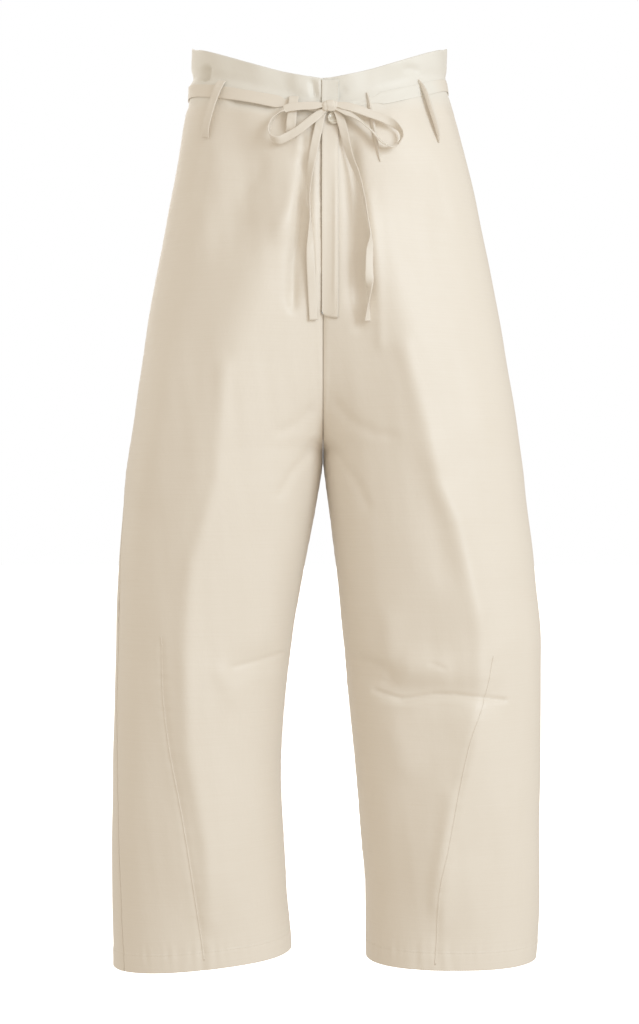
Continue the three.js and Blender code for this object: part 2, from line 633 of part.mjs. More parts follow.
// The mesh without what lies within a gap of the knot.
function clearOfKnot(mesh) {
  const knot = solid(knotGeometry(SEAM_GAP), new THREE.Matrix4());
  const pieces = solid(mesh.geometry, mesh.matrix).subtract(knot).decompose();
  const largest = pieces.reduce((a, b) => (a.volume() > b.volume() ? a : b)).getMesh();
  const geometry = new THREE.BufferGeometry();
  geometry.setAttribute("position", new THREE.Float32BufferAttribute(largest.vertProperties, 3));
  geometry.setIndex([...largest.triVerts]);
  mesh.geometry = geometry;
  return mesh;
}

// ---------- the trousers ----------
const trousers = new THREE.Group();
for (const side of ["right", "left"]) for (const face of ["front", "back"]) trousers.add(legPanel(side, face));
trousers.add(placket(), button(), clearOfKnot(tieBelt()), tieKnot());
for (const loop of LOOPS) trousers.add(beltLoop(loop));
for (const [name, rows] of Object.entries(ROUTES)) trousers.add(clearOfKnot(tieRun(name, rows)));

export default trousers;
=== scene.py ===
"""Barrel-leg trousers in ivory silk, filled out as if worn: a paper-bag waist, a thin tie in a bow, a fly
with one button, and long belt loops. "right" and "left" are the wearer's. The front faces -Y and +X is the
wearer's left. Lengths in the tables and the cloth functions are millimetres; MM takes them to metres.
"""
import math

import bmesh
import bpy
import numpy as np
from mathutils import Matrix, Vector
from mathutils.bvhtree import BVHTree


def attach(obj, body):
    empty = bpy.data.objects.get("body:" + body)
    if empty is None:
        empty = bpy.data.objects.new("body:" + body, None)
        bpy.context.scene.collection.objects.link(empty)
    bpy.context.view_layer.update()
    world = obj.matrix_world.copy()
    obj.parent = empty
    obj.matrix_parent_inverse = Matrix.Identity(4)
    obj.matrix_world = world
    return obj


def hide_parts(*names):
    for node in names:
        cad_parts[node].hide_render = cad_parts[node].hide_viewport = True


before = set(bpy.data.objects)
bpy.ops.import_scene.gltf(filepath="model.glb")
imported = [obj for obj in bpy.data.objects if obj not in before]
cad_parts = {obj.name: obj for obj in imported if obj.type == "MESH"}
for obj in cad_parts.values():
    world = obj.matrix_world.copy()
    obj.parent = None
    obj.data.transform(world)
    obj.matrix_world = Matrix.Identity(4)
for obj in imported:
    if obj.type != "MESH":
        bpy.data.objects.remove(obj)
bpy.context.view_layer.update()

MM = 0.001
BODY = "root"


def table(columns, *rows):
    """A table as one array for each named column."""
    return dict(zip(columns.split(), np.array(rows, float).T))


# ---------------- camera, lights and floor
CAMERA = dict(distance=2.4, height=-0.4536, side=-0.0038, view_height=1.1192)
AIM = Vector((0, 0, -0.45))  # of all the lights
# Name, place, size, power and colour.
LIGHTS = [
    ("key", (2.2, -2.2, 0.7), (1.2, 1.8), 37, (0.75, 0.88, 1.0)),
    ("front", (1.2, -2.6, 0.5), (1.4, 1.8), 8, (0.92, 0.97, 1.0)),
    ("rim", (-2.2, 0.9, 0.3), (1.0, 1.8), 6, (0.95, 1.0, 0.98)),
    ("back", (-1.0, 2.4, 0.8), (1.6, 1.6), 11, (1.0, 0.99, 0.97)),
]
SURROUND = dict(colour=(1.0, 0.905, 0.775, 1), strength=0.69)
FLOOR_Z = -1.25


def make_camera():
    data = bpy.data.cameras.new("camera")
    data.sensor_fit = "AUTO"
    data.sensor_width = 36
    data.lens = data.sensor_width * CAMERA["distance"] / CAMERA["view_height"]
    camera = bpy.data.objects.new("camera", data)
    camera.location = (CAMERA["side"], -CAMERA["distance"], CAMERA["height"])
    camera.rotation_euler = (math.pi / 2, 0, 0)
    bpy.context.collection.objects.link(camera)
    bpy.context.scene.camera = camera


def make_light(name, place, size, power, colour):
    data = bpy.data.lights.new(name, "AREA")
    data.shape = "RECTANGLE"
    data.size, data.size_y = size
    data.energy = power
    data.color = colour
    light = bpy.data.objects.new(name, data)
    light.location = place
    light.rotation_euler = (AIM - Vector(place)).to_track_quat("-Z", "Y").to_euler()
    bpy.context.collection.objects.link(light)


def make_studio():
    """A white background for the camera, a warm surround that lights the cloth, the lights and the floor."""
    scene = bpy.context.scene
    scene.view_settings.view_transform = "Standard"
    scene.view_settings.look = "None"
    world = bpy.data.worlds.new("studio")
    scene.world = world
    world.use_nodes = True
    nodes, links = world.node_tree.nodes, world.node_tree.links
    nodes.clear()
    out = nodes.new("ShaderNodeOutputWorld")
    seen = nodes.new("ShaderNodeBackground")
    seen.inputs["Color"].default_value = (1, 1, 1, 1)
    lit = nodes.new("ShaderNodeBackground")
    lit.inputs["Color"].default_value = SURROUND["colour"]
    lit.inputs["Strength"].default_value = SURROUND["strength"]
    mix = nodes.new("ShaderNodeMixShader")
    path = nodes.new("ShaderNodeLightPath")
    links.new(path.outputs["Is Camera Ray"], mix.inputs[0])
    links.new(lit.outputs[0], mix.inputs[1])
    links.new(seen.outputs[0], mix.inputs[2])
    links.new(mix.outputs[0], out.inputs["Surface"])
    for light in LIGHTS:
        make_light(*light)

    bpy.ops.mesh.primitive_plane_add(size=60, location=(0, 0, FLOOR_Z))
    floor = bpy.context.object
    floor.name = "floor"
    n = Nodes("floor")
    n.look(Base_Color=(0.9, 0.9, 0.9, 1), Roughness=0.9, Emission_Color=(1, 1, 1, 1), Emission_Strength=1.0)
    floor.data.materials.append(n.material)
    floor.visible_diffuse = floor.visible_glossy = False


# ---------------- materials
class Nodes:
    """A new material, with short words for building its node tree."""

    def __init__(self, name):
        self.material = bpy.data.materials.new(name)
        self.material.use_nodes = True
        self.tree = self.material.node_tree
        self.shader = self.tree.nodes["Principled BSDF"]

    def put(self, socket, value):
        if isinstance(value, bpy.types.NodeSocket):
            self.tree.links.new(value, socket)
        else:
            socket.default_value = value

    def look(self, **values):
        """The shader's inputs, each a value or a socket, with _ for the space in a name."""
        for key, value in values.items():
            self.put(self.shader.inputs[key.replace("_", " ")], value)

    def add(self, kind, **values):
        node = self.tree.nodes.new(kind)
        for key, value in values.items():
            if key in node.inputs:
                self.put(node.inputs[key], value)
            else:
                setattr(node, key, value)
        return node

    def math(self, operation, a, b):
        node = self.add("ShaderNodeMath", operation=operation)
        self.put(node.inputs[0], a)
        self.put(node.inputs[1], b)
        return node.outputs[0]

    def noise(self, vector, stretch, detail, roughness):
        """Noise that is finer along an axis the more it is stretched."""
        place = self.add("ShaderNodeMapping", Vector=vector, Scale=stretch).outputs[0]
        node = self.add("ShaderNodeTexNoise", Vector=place, Scale=1.0, Detail=detail, Roughness=roughness)
        return node.outputs["Fac"]

    def spread(self, value, low, high, to_low=0.0, to_high=1.0):
        ends = {"From Min": low, "From Max": high, "To Min": to_low, "To Max": to_high}
        return self.add("ShaderNodeMapRange", Value=value, **ends).outputs[0]

    def mix(self, factor, a, b):
        return self.add("ShaderNodeMix", data_type="RGBA", Factor=factor, A=a, B=b).outputs["Result"]


# Silk, linear: the colour of its ground and of its pale and deep yarns, and painted light: a paler, cooler
# colour on the single layer above the tie, for the light that shines through it.
SILK = dict(
    ground=(0.83, 0.77, 0.685), pale=(0.87, 0.815, 0.74), deep=(0.76, 0.675, 0.565),
    frill_painted_light=(0.84, 0.815, 0.755),
)
RIB = 0.55  # mm from one weft rib to the next
PAINTED_LIGHT_HEIGHTS = dict(starts=-0.022, full=0.004)  # metres up the cut cloth, where the painted light above the tie starts and where it is full
WAVE_PERIOD = 20  # a wave texture's bands lie 2 pi / 20 apart at scale 1


def silk(name, tint=1.0, frill_painted_light=False):
    """Silk with a fine cross rib, uneven weft yarns and a soft sheen. UVs are the cut cloth in metres."""
    n = Nodes(name)
    tinted = {key: [c * tint for c in colour] + [1] for key, colour in SILK.items()}
    cloth = n.add("ShaderNodeUVMap", uv_map="cut").outputs[0]
    yarns = n.noise(cloth, (12, 700, 1), 3.0, 0.6)
    slubs = n.noise(cloth, (40, 1900, 1), 2.0, 0.5)
    cloud = n.noise(cloth, (26, 9, 1), 2.0, 0.5)
    colour = n.mix(n.spread(yarns, 0.3, 0.7), tinted["deep"], tinted["pale"])
    colour = n.mix(n.spread(slubs, 0.35, 0.65, 0.78, 0.97), colour, tinted["ground"])
    colour = n.mix(n.spread(cloud, 0.35, 0.65, 0.0, 0.22), colour, tinted["pale"])
    # Painted light: the single layer above the tie is painted paler and cooler, for the light that shines
    # through it.
    if frill_painted_light:
        up = n.add("ShaderNodeSeparateXYZ", Vector=cloth).outputs["Y"]
        colour = n.mix(n.spread(up, PAINTED_LIGHT_HEIGHTS["starts"], PAINTED_LIGHT_HEIGHTS["full"]), colour, tinted["frill_painted_light"])
    ribs = 2 * math.pi / (WAVE_PERIOD * RIB * MM)
    rib = n.add("ShaderNodeTexWave", Vector=cloth, Distortion=0.6, Scale=ribs)
    rib.wave_type, rib.bands_direction = "BANDS", "Y"
    weave = n.math("ADD", n.math("MULTIPLY", rib.outputs["Fac"], 0.2), n.math("ADD", yarns, slubs))
    fine = n.add("ShaderNodeBump", Height=weave, Strength=0.12, Distance=0.00022)
    crumple = n.noise(cloth, (45, 22, 1), 3.0, 0.55)
    soft = n.add("ShaderNodeBump", Height=crumple, Strength=0.3, Distance=0.0016, Normal=fine.outputs[0])
    n.look(
        Base_Color=colour, Roughness=n.spread(yarns, 0.3, 0.7, 0.48, 0.42), Normal=soft.outputs[0],
        Specular_IOR_Level=0.5, Sheen_Weight=0.3, Sheen_Roughness=0.35, Sheen_Tint=(0.97, 0.98, 1.0, 1),
        Anisotropic=0.35,
    )
    return n.material


def shell(name):
    """Polished pale shell, clouded with nacre."""
    n = Nodes(name)
    bands = n.noise(n.add("ShaderNodeTexCoord").outputs["Object"], (160, 160, 420), 4.0, 0.6)
    n.look(
        Base_Color=n.mix(n.spread(bands, 0.3, 0.7), (0.60, 0.53, 0.42, 1), (0.86, 0.82, 0.74, 1)),
        Roughness=n.spread(bands, 0.3, 0.7, 0.16, 0.3), Coat_Weight=0.5, Coat_Roughness=0.08,
    )
    return n.material


def thread(name):
    """Spun thread with a fine ply."""
    n = Nodes(name)
    ply = n.noise(n.add("ShaderNodeTexCoord").outputs["Object"], (3000, 3000, 3000), 2.0, 0.5)
    n.look(
        Base_Color=n.mix(n.spread(ply, 0.35, 0.65), (0.72, 0.65, 0.54, 1), (0.84, 0.77, 0.67, 1)),
        Roughness=0.5, Sheen_Weight=0.2,
    )
    return n.material


# ---------------- the cloth surface
MIRROR = dict(right=-1, left=1)
FACING = dict(front=1, back=-1)
HALVINGS = 36  # of the span in which an angle is looked for
SEAM_GAP = 0.3
ROUNDNESS = 2.3
TOP, CROTCH, HEM = 47.0, -391.6, -936.0
HEM_DEPTH, HEM_STEP = 19.0, 0.5

# Each half seen from the front: how far the leg's outer and inner edges lie from the centre plane.
OUTLINE = {
    "right": table(
        "z outer inner",
        (47, 142.5, 0), (30, 143, 0), (18, 141, 0), (8, 145.5, 0), (-10, 146, 0), (-22, 149.5, 0),
        (-68, 157, 0), (-165, 175.5, 0), (-260, 192, 0), (-357, 206, 0), (CROTCH, 211, 0),
        (-411, 213.5, 2), (-432, 215.5, 5.4), (-518, 222.5, 21.5), (-603, 225.5, 36), (-689, 227.5, 44.5),
        (-732, 228.5, 46.4), (-817, 230, 42.4), (-870, 229.5, 40), (HEM, 228, 34.5),
    ),
    "left": table(
        "z outer inner",
        (47, 135, 0), (30, 134.8, 0), (20, 133.5, 0), (12, 134.8, 0), (4, 135.6, 0), (-4, 138, 0),
        (-10, 139.8, 0), (-22, 143, 0), (-68, 155.5, 0), (-165, 177, 0), (-260, 194.5, 0), (-357, 211, 0),
        (CROTCH, 216, 0), (-411, 218.5, 1.8), (-432, 220.5, 4.3), (-518, 230.5, 15.2), (-603, 237, 23.4),
        (-689, 237, 31.6), (-732, 236.5, 36), (-817, 236, 43), (-870, 235.5, 47), (HEM, 232, 47.5),
    ),
}
# Depth before and behind the side line, and how far each half is a leg of its own, from 0 to 1.
DEPTH = table(
    "z front back parted",
    (47, 93, 94, 0), (18, 91, 92, 0), (0, 94, 96, 0), (-22, 98, 103, 0), (-68, 104, 116, 0.01),
    (-150, 110, 134, 0.12), (-220, 113, 143, 0.36), (-270, 114, 143, 0.58), (-310, 114, 140, 0.76),
    (-345, 113, 136, 0.89), (-372, 112, 132, 0.968), (CROTCH, 111, 129, 1), (-480, 108, 117, 1),
    (-600, 107, 104, 1), (-720, 102, 98, 1), (-820, 96, 91, 1), (HEM, 90, 84, 1),
)
# How far a section dips in the middle of the front and of the back, and the power of the dip's curve.
DIP = table(
    "z front back power",
    (47, 44.5, 12, 1.5), (0, 33, 8, 1), (-70, 16, 3, 1), (-150, 0, 0, 1), (HEM, 0, 0, 1),
)
HEM_TILT = {"right": -9.0, "left": 0.0}  # the outer edge of the hem hangs lower than its middle
HEM_TILT_FROM = -760.0
# Where the outer side seam runs, in degrees from the side line towards the front.
SIDE_SEAM = {
    "right": table("z turn", (47, 0), (-300, 3), (-520, 22), (-690, 29), (-790, 33), (HEM, 35)),
    "left": table("z turn", (47, 0), (-300, -2), (HEM, -8)),
}
# Gathers of the waist: their number round each half, where they start above and below the tie, over what
# height they grow below it, from where and over what reach they fade, and where each half's wave starts.
GATHERS = dict(count=7, above=4, below=-6, growth=14, full=-20, reach=60.0, shift=dict(right=0.0, left=0.6))
GATHER_DEPTH = dict(front=dict(top=1.2, below=0.9), back=dict(top=1.8, below=1.6))
CALM_SIDE = dict(turn=0.2, kept=0.15, creases=0.4)  # relief dies away towards the side line
DART = {
    "right": [(-168, -583), (-167, -642), (-161, -697), (-147, -773), (-136, -845), (-125, -925)],
    "left": [
        (175, -604), (167.5, -647), (154.5, -685), (141.5, -747), (131, -808), (123.5, -849), (118, -930),
    ],
}
DART_DEPTH, DART_REACH = 0.9, 3.5

# The crests of the two front legs, from the waist to the hem.
RIGHT_CREST = [
    (-16, -80), (-30, -125), (-56, -180), (-92, -284), (-116, -389), (-129, -493), (-145, -598),
    (-141, -702), (-122, -807), (-118, -905),
]
LEFT_CREST = [
    (36, -75), (46, -120), (57, -180), (91, -284), (107, -389), (126, -493), (159, -598), (155, -702),
    (128, -807), (124, -905),
]

# Folds on each face: height out (in when negative), reach to each side, then the x, z that they run through.
FOLDS = {"front": [
    (9, 32, RIGHT_CREST),
    (10, 32, LEFT_CREST),
    (-5, 15, [(22, -608), (52, -628), (80, -642), (119, -641), (164, -645), (197, -649)]),
    (4, 18, [(72, -612), (105, -618), (140, -622)]),
    (-2.5, 14, [(-38, -603), (-70, -612), (-104, -617)]),
    (-5, 11, [(24, -55), (29, -95), (33, -145), (33, -200), (36, -255)]),
    (-4, 9, [(-22, -70), (-24, -130), (-27, -190), (-33, -245)]),
    (-3, 10, [(-60, -70), (-72, -100), (-95, -125)]),
    (3, 22, [(-120, -90), (-140, -200), (-165, -330), (-190, -470)]),
    (-3, 24, [(-165, -560), (-168, -680), (-165, -800)]),
], "back": [
    (6, 26, [(-80, -260), (-100, -400), (-122, -560), (-128, -700), (-122, -930)]),
    (6, 26, [(78, -250), (104, -400), (128, -560), (135, -700), (130, -930)]),
    (-5, 16, [(-20, -330), (-60, -350), (-105, -338), (-150, -318)]),
    (-5, 16, [(22, -335), (64, -352), (110, -336), (158, -312)]),
    (-4, 15, [(-52, -600), (-100, -612), (-160, -596)]),
    (-5, 15, [(38, -606), (95, -622), (160, -604)]),
    (-4, 12, [(-48, -40), (-55, -110), (-66, -170)]),
    (-4, 12, [(44, -40), (52, -105), (60, -180)]),
]}

# The sharp edges of the two crests, which wander a little off the broad ones.
RIGHT_EDGE = [
    (-101, -284), (-104.6, -336), (-107.7, -389), (-110, -420), (-122, -462), (-136, -504), (-141, -540),
    (-143, -598), *RIGHT_CREST[-3:],
]
LEFT_EDGE = [
    (79, -264), (89, -303), (107, -364), (119, -424), (138, -464), (148, -505), (160, -553), (165, -585),
    (163, -640), *LEFT_CREST[-3:],
]

# Finer creases than the solids hold, in the same form.
CREASES = {"front": [
    (2.7, 10, RIGHT_EDGE),
    (2.7, 10, LEFT_EDGE),
    (4.5, 18, [(106, -364), (119, -424), (138, -464), (148, -505), (160, -553), (164, -600)]),
    (-4.0, 18, [(102, -372), (112, -440), (122, -490), (138, -548)]),
    (-2.2, 2.6, [(50, -641), (84, -650.5), (116, -644.5), (137, -644.5), (166, -647.5), (196, -652)]),
    (0.9, 5, [(52, -655), (90, -657), (122, -651), (158, -654)]),
    (2.2, 8, [(134, -735), (127, -790), (120, -840), (116, -880)]),
    (-2.4, 6, [(22, -606), (48, -612), (66, -618), (72, -630), (60, -638)]),
    (-0.9, 2.6, [(108, -611), (118, -613), (130, -619)]),
    (2.4, 16, [(68, -664), (80, -700), (92, -745)]),
    (1.8, 11, [(68, -545), (72, -590), (80, -628)]),
    (-1.0, 3.2, [(-38, -603), (-66, -610), (-100, -617)]),
    (1.4, 9, [(-118, -608), (-96, -640), (-92, -668)]),
    (2.0, 10, [(-60, -70), (-72, -100), (-95, -125)]),
    (-8.5, 28, [(-82, -28), (-84, -100), (-104, -200)]),
    (-4.5, 30, [(-132, -70), (-142, -150), (-156, -250), (-168, -330)]),
    (3.5, 11, [(-16, -46), (-22, -90), (-32, -130), (-52, -180)]),
    (2.2, 4.5, [(-9, -70), (-9, -140), (-8, -200), (-10, -250)]),
    (-3.4, 5, [(-20, -52), (-22, -112), (-26, -162), (-32, -194), (-31, -250)]),
    (-4.0, 7, [(28, -56), (33, -110), (34, -160), (35, -215), (38, -270)]),
    (1.6, 6, [(46, -110), (54, -170), (58, -230), (60, -290)]),
    (-1.5, 6, [(6, -330), (26, -356), (54, -372), (84, -376)]),
    (-1.3, 6, [(-6, -338), (-28, -362), (-56, -374)]),
    (-1.6, 5, [(-3, -372), (-16, -392), (-34, -414), (-50, -444)]),
    (-1.6, 5, [(3, -374), (18, -398), (36, -424), (50, -456)]),
    (-7.5, 4.5, [(-124, 26), (-126, 14), (-129, 6)]),
    (-3.5, 6, [(-104, -14), (-84, -20), (-64, -25), (-46, -27)]),
    (1.5, 8, [(-38, 6), (-24, -8), (-10, -24)]),
    (-2.2, 3, [(-13, 4), (-11, -8), (-8, -20)]),
    (1.6, 3, [(-4, 4), (-3.5, -8), (-2, -22)]),
    (-1.2, 4, [(26, -6), (18, -14), (12, -22)]),
    (-1.6, 3.5, [(82, 14), (92, 17), (104, 14)]),
    (1.3, 9, [(60, 14), (90, 24), (120, 30)]),
    (-1.2, 8, [(-118, -62), (-130, -90), (-136, -130)]),
    (-1.0, 8, [(112, -76), (124, -110), (130, -160)]),
], "back": [
    (-1.8, 6, [(-30, -352), (-66, -372), (-112, -362)]),
    (-1.8, 6, [(30, -356), (70, -374), (118, -358)]),
    (-1.6, 6, [(-6, -300), (-20, -340), (-44, -376), (-60, -420)]),
    (-1.6, 6, [(6, -304), (22, -344), (42, -380), (62, -430)]),
    (-1.5, 6, [(-48, -588), (-92, -596), (-146, -582)]),
    (-1.8, 6, [(44, -590), (98, -602), (150, -588)]),
    (1.6, 9, [(-50, -622), (-100, -630), (-150, -616)]),
    (1.6, 9, [(44, -630), (98, -640), (152, -622)]),
    (-1.6, 7, [(-96, 30), (-92, 12), (-98, -4)]),
    (-1.6, 7, [(60, 30), (66, 12), (60, -4)]),
    (-1.2, 8, [(-100, -60), (-112, -120), (-118, -180)]),
    (-1.2, 8, [(98, -60), (110, -126), (120, -190)]),
]}


def clamp01(t):
    return np.clip(t, 0.0, 1.0)


def smooth(t):
    t = clamp01(t)
    return t * t * (3 - 2 * t)


def unit(vectors):
    return vectors / (np.linalg.norm(vectors, axis=-1, keepdims=True) + 1e-12)


def run_along(points):
    """The length along a path up to each of its points."""
    return np.concatenate([[0], np.cumsum(np.linalg.norm(np.diff(points, axis=0), axis=1))])


def at(rows, key, z):
    """A column of a table at the heights z, without overshoot between its rows."""
    heights, values = rows["z"], rows[key]
    z = np.clip(np.asarray(z, float), heights[-1], heights[0])
    slopes = np.diff(values) / np.diff(heights)
    a, b = slopes[:-1], slopes[1:]
    total = np.where(a + b == 0, 1, a + b)
    inner = np.where(a * b <= 0, 0, 2 * a * b / total)
    tangents = np.concatenate([[slopes[0]], inner, [slopes[-1]]])
    i = np.clip(np.searchsorted(-heights, -z, side="right") - 1, 0, len(slopes) - 1)
    span = heights[i + 1] - heights[i]
    t = (z - heights[i]) / span
    return (
        (2 * t**3 - 3 * t**2 + 1) * values[i]
        + (t**3 - 2 * t**2 + t) * span * tangents[i]
        + (3 * t**2 - 2 * t**3) * values[i + 1]
        + (t**3 - t**2) * span * tangents[i + 1]
    )


def nearness(path, reach, x, z):
    """How near x, z is to a path, from 1 on it to 0 far off, fading at its two ends."""
    away = np.full(np.shape(x), np.inf)
    along = np.zeros(np.shape(x))
    long = 0.0
    for (ax, az), (bx, bz) in zip(path, path[1:]):
        dx, dz = bx - ax, bz - az
        length = math.hypot(dx, dz)
        t = clamp01(((x - ax) * dx + (z - az) * dz) / length**2)
        d = np.hypot(x - ax - t * dx, z - az - t * dz)
        closer = d < away
        away = np.where(closer, d, away)
        along = np.where(closer, long + t * length, along)
        long += length
    fade = min(long / 3, 2.5 * reach)
    return np.exp(-((away / reach) ** 2)) * smooth(along / fade) * smooth((long - along) / fade)


def section(side, z):
    """Where a half's section is centred, and half its width."""
    outer = at(OUTLINE[side], "outer", z)
    inner = at(OUTLINE[side], "inner", z)
    parted = at(DEPTH, "parted", z)
    below = z <= CROTCH
    centre = np.where(below, (outer + inner) / 2, outer * parted / (1 + parted))
    half = np.where(below, (outer - inner) / 2, outer / (1 + parted))
    return centre, half


def bare(side, angle, z):
    """The smooth cloth at an angle round a section: 0 is the side line, pi/2 the front and -pi/2 the back."""
    angle, z = np.broadcast_arrays(np.asarray(angle, float), np.asarray(z, float))
    front = np.sin(angle) >= 0
    centre, half = section(side, z)
    depth = np.where(front, at(DEPTH, "front", z), at(DEPTH, "back", z))
    radius = (
        np.abs(np.cos(angle) / half) ** ROUNDNESS + np.abs(np.sin(angle) / depth) ** ROUNDNESS
    ) ** (-1 / ROUNDNESS)
    x = centre + radius * np.cos(angle)
    share = clamp01(x / (centre + half))
    dip = np.where(front, at(DIP, "front", z), at(DIP, "back", z)) * (1 - share ** at(DIP, "power", z))
    tilt = HEM_TILT[side] * smooth((HEM_TILT_FROM - z) / (HEM_TILT_FROM - HEM)) * np.cos(angle)
    return np.stack([MIRROR[side] * x, -radius * np.sin(angle), z - dip + tilt], axis=-1)


def pushed_out(rows, x, z):
    """How far rows of a height, a reach and a path push the cloth out at x, z."""
    return sum(rise * nearness(path, reach, x, z) for rise, reach, path in rows)


def relief(side, angle, z, p):
    """How far the solids' folds, gathers, darts and hems push the cloth out."""
    front = np.sin(angle) >= 0
    x, height = p[..., 0], p[..., 2]
    wave = np.cos(angle * GATHERS["count"] * 2 + GATHERS["shift"][side])
    above = wave * smooth((z - GATHERS["above"]) / (TOP - GATHERS["above"]))
    below = wave * smooth((GATHERS["below"] - z) / GATHERS["growth"])
    below = below * smooth(1 + (z - GATHERS["full"]) / GATHERS["reach"])
    out = np.where(z < HEM + HEM_DEPTH, HEM_STEP, 0)
    out = out - np.where(front, DART_DEPTH * nearness(DART[side], DART_REACH, x, height), 0)
    for face, here in (("front", front), ("back", ~front)):
        gathers = GATHER_DEPTH[face]["top"] * above + GATHER_DEPTH[face]["below"] * below
        out = out + np.where(here, pushed_out(FOLDS[face], x, height) + gathers, 0)
    return out * smooth(np.abs(np.sin(angle)) / CALM_SIDE["turn"] + CALM_SIDE["kept"])


def cloth(side, angle, z):
    """Points of the cloth's outer face, with their outward normals."""
    step, drop = 0.02, 2.0
    angle, z = np.broadcast_arrays(np.asarray(angle, float), np.asarray(z, float))
    round_ = bare(side, angle + step, z) - bare(side, angle - step, z)
    down = bare(side, angle, z - drop) - bare(side, angle, z + drop)
    normal = MIRROR[side] * unit(np.cross(round_, down))
    point = bare(side, angle, z)
    return point + normal * relief(side, angle, z, point)[..., None], normal


def angle_at(side, facing, z, distance):
    """The angle at which a half comes within a distance of the centre plane, on the front or the back."""
    low, high = np.zeros(z.shape), np.full(z.shape, math.pi)
    for _ in range(HALVINGS):
        middle = (low + high) / 2
        outside = MIRROR[side] * bare(side, facing * middle, z)[..., 0] > distance
        low, high = np.where(outside, middle, low), np.where(outside, high, middle)
    return facing * low


def cloth_at(face, x, z):
    """The cloth at x, z on the front or the back, with its normals. Takes arrays."""
    x, z = np.broadcast_arrays(np.asarray(x, float), np.asarray(z, float))
    points, normals = np.zeros(x.shape + (3,)), np.zeros(x.shape + (3,))
    for side, mine in (("left", x >= 0), ("right", x < 0)):
        if not mine.any():
            continue
        row = z[mine].copy()
        for _ in range(8):
            angle = angle_at(side, FACING[face], row, np.abs(x[mine]))
            row = row + z[mine] - bare(side, angle, row)[..., 2]
        points[mine], normals[mine] = cloth(side, angle, row)
    return points, normals


def cloth_along(face, x, z):
    """The cloth at a path of x, z, where x keeps off the centre plane."""
    return cloth_at(face, np.where(np.abs(x) < 1, 1.0, x), z)


# ---------------- mesh helpers
def make_piece(name, points, faces, uv, material):
    """A mesh object from points in millimetres, faces, and one UV pair in millimetres for each point."""
    mesh = bpy.data.meshes.new(name)
    corners_of = [[int(i) for i in face] for face in faces]
    mesh.from_pydata((np.reshape(points, (-1, 3)) * MM).tolist(), [], corners_of)
    layer = mesh.uv_layers.new(name="cut")
    corners = np.zeros(len(mesh.loops), dtype=np.int32)
    mesh.loops.foreach_get("vertex_index", corners)
    layer.data.foreach_set("uv", (np.reshape(uv, (-1, 2))[corners] * MM).astype(np.float32).ravel())
    mesh.materials.append(material)
    mesh.shade_smooth()
    piece = bpy.data.objects.new(name, mesh)
    bpy.context.collection.objects.link(piece)
    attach(piece, BODY)
    return piece


SEARCH = 12.0  # how far off a surface is looked for


def surface_of(piece):
    mesh = piece.data
    return BVHTree.FromPolygons([v.co for v in mesh.vertices], [list(f.vertices) for f in mesh.polygons])


def laid_on(surface, points, normals, lift):
    """Points moved along their normals onto a surface, and lifted off it."""
    laid = []
    for point, normal in zip(points, normals):
        start = Vector((point + normal * SEARCH) * MM)
        hit = surface.ray_cast(start, Vector(-normal), 2 * SEARCH * MM)[0]
        laid.append(point if hit is None else np.array(hit) / MM)
    return np.array(laid) + normals * lift


def grid_faces(rows, columns, closed=False):
    """Quads between the points of a grid laid out row by row; closed joins its last column to its first."""
    i, j = np.meshgrid(np.arange(rows - 1), np.arange(columns if closed else columns - 1), indexing="ij")
    k = (j + 1) % columns
    above, below = i * columns, (i + 1) * columns
    quads = np.stack([above + j, below + j, below + k, above + k], axis=-1)
    return quads.reshape(-1, 4)


def tube_faces(rows, columns):
    """The faces of a closed tube of rows of points, with its two ends."""
    first = list(range(columns))
    last = [(rows - 1) * columns + k for k in first]
    return grid_faces(rows, columns, closed=True).tolist() + [first, last[::-1]]


def grid_normals(grid, outward):
    """Normals of a grid of points, turned to the side of outward."""
    normal = unit(np.cross(np.gradient(grid, axis=1), np.gradient(grid, axis=0)))
    return normal * np.sign((normal * outward).sum(-1, keepdims=True))


# ---------------- leg panels
HELD = dict(columns=0.6, turn=0.72)
COLUMNS = dict(front=124, back=84)
# Heights between which the rows of a panel lie at this spacing, and the rows over the turned-up hem.
ROWS = table("z spacing", (TOP, 2), (-30, 3.4), (-598, 1.6), (-662, 3.4), (HEM + HEM_DEPTH + 3, 1))
HEM_ROWS = HEM + np.array([20.5, 19.6, 18.8, 18, 16.8, 14.5, 11, 7, 4, 2, 0.8, 0])
# The waist's top edge and the hem are folded to the inside. Each row of a fold lies behind a row of the outer
# face, by inside and moved up, at height v in the cut cloth.
TURNED_TOP, TURNED_HEM = 14.0, 16.0
WAIST_FOLD = table(
    "row inside up v",
    (7, 1.6, 0, TOP - TURNED_TOP), (2, 1.5, 0, TOP - 6), (0, 1.3, -0.5, TOP + 0.5), (0, 0.7, 0.35, TOP + 0.2),
)
HEM_FOLD = table(
    "row inside up v",
    (-1, 0.6, -0.5, HEM - 0.3), (-1, 1.3, 0.4, HEM - 0.8), (-4, 1.7, 0, HEM - 4), (-7, 1.8, 0, HEM - 11),
    (-10, 1.9, 0, HEM - TURNED_HEM),
)
# Seam allowances run on behind the neighbouring panel: how far beyond and behind the edge each strip lies,
# how far it sinks at the waist's top edge, and where it lies in the cut cloth.
ALLOWANCE = table("beyond behind sunk u", (0.1, 1.2, 1.8, 1.2), (4, 1.5, 6, 4), (9, 2.2, 6, 9))
COLLAPSED = 1e-3  # between the strips of an allowance where it isn't wanted
SEAM = dict(depth=0.45, reach=1.8, ridge=0.3, ridge_from=5.0, ridge_reach=3.5, pucker=0.4, pucker_reach=7.0)
CORNER = dict(rise=4.5, turn=0.21, above=25.0)  # the top edge peaks at the side seams
STITCH_LINE = 18.0  # from the hem's edge
CENTRE_HELD = 9.0  # above the crotch the centre edges keep to the middle plane, and relief grows over this
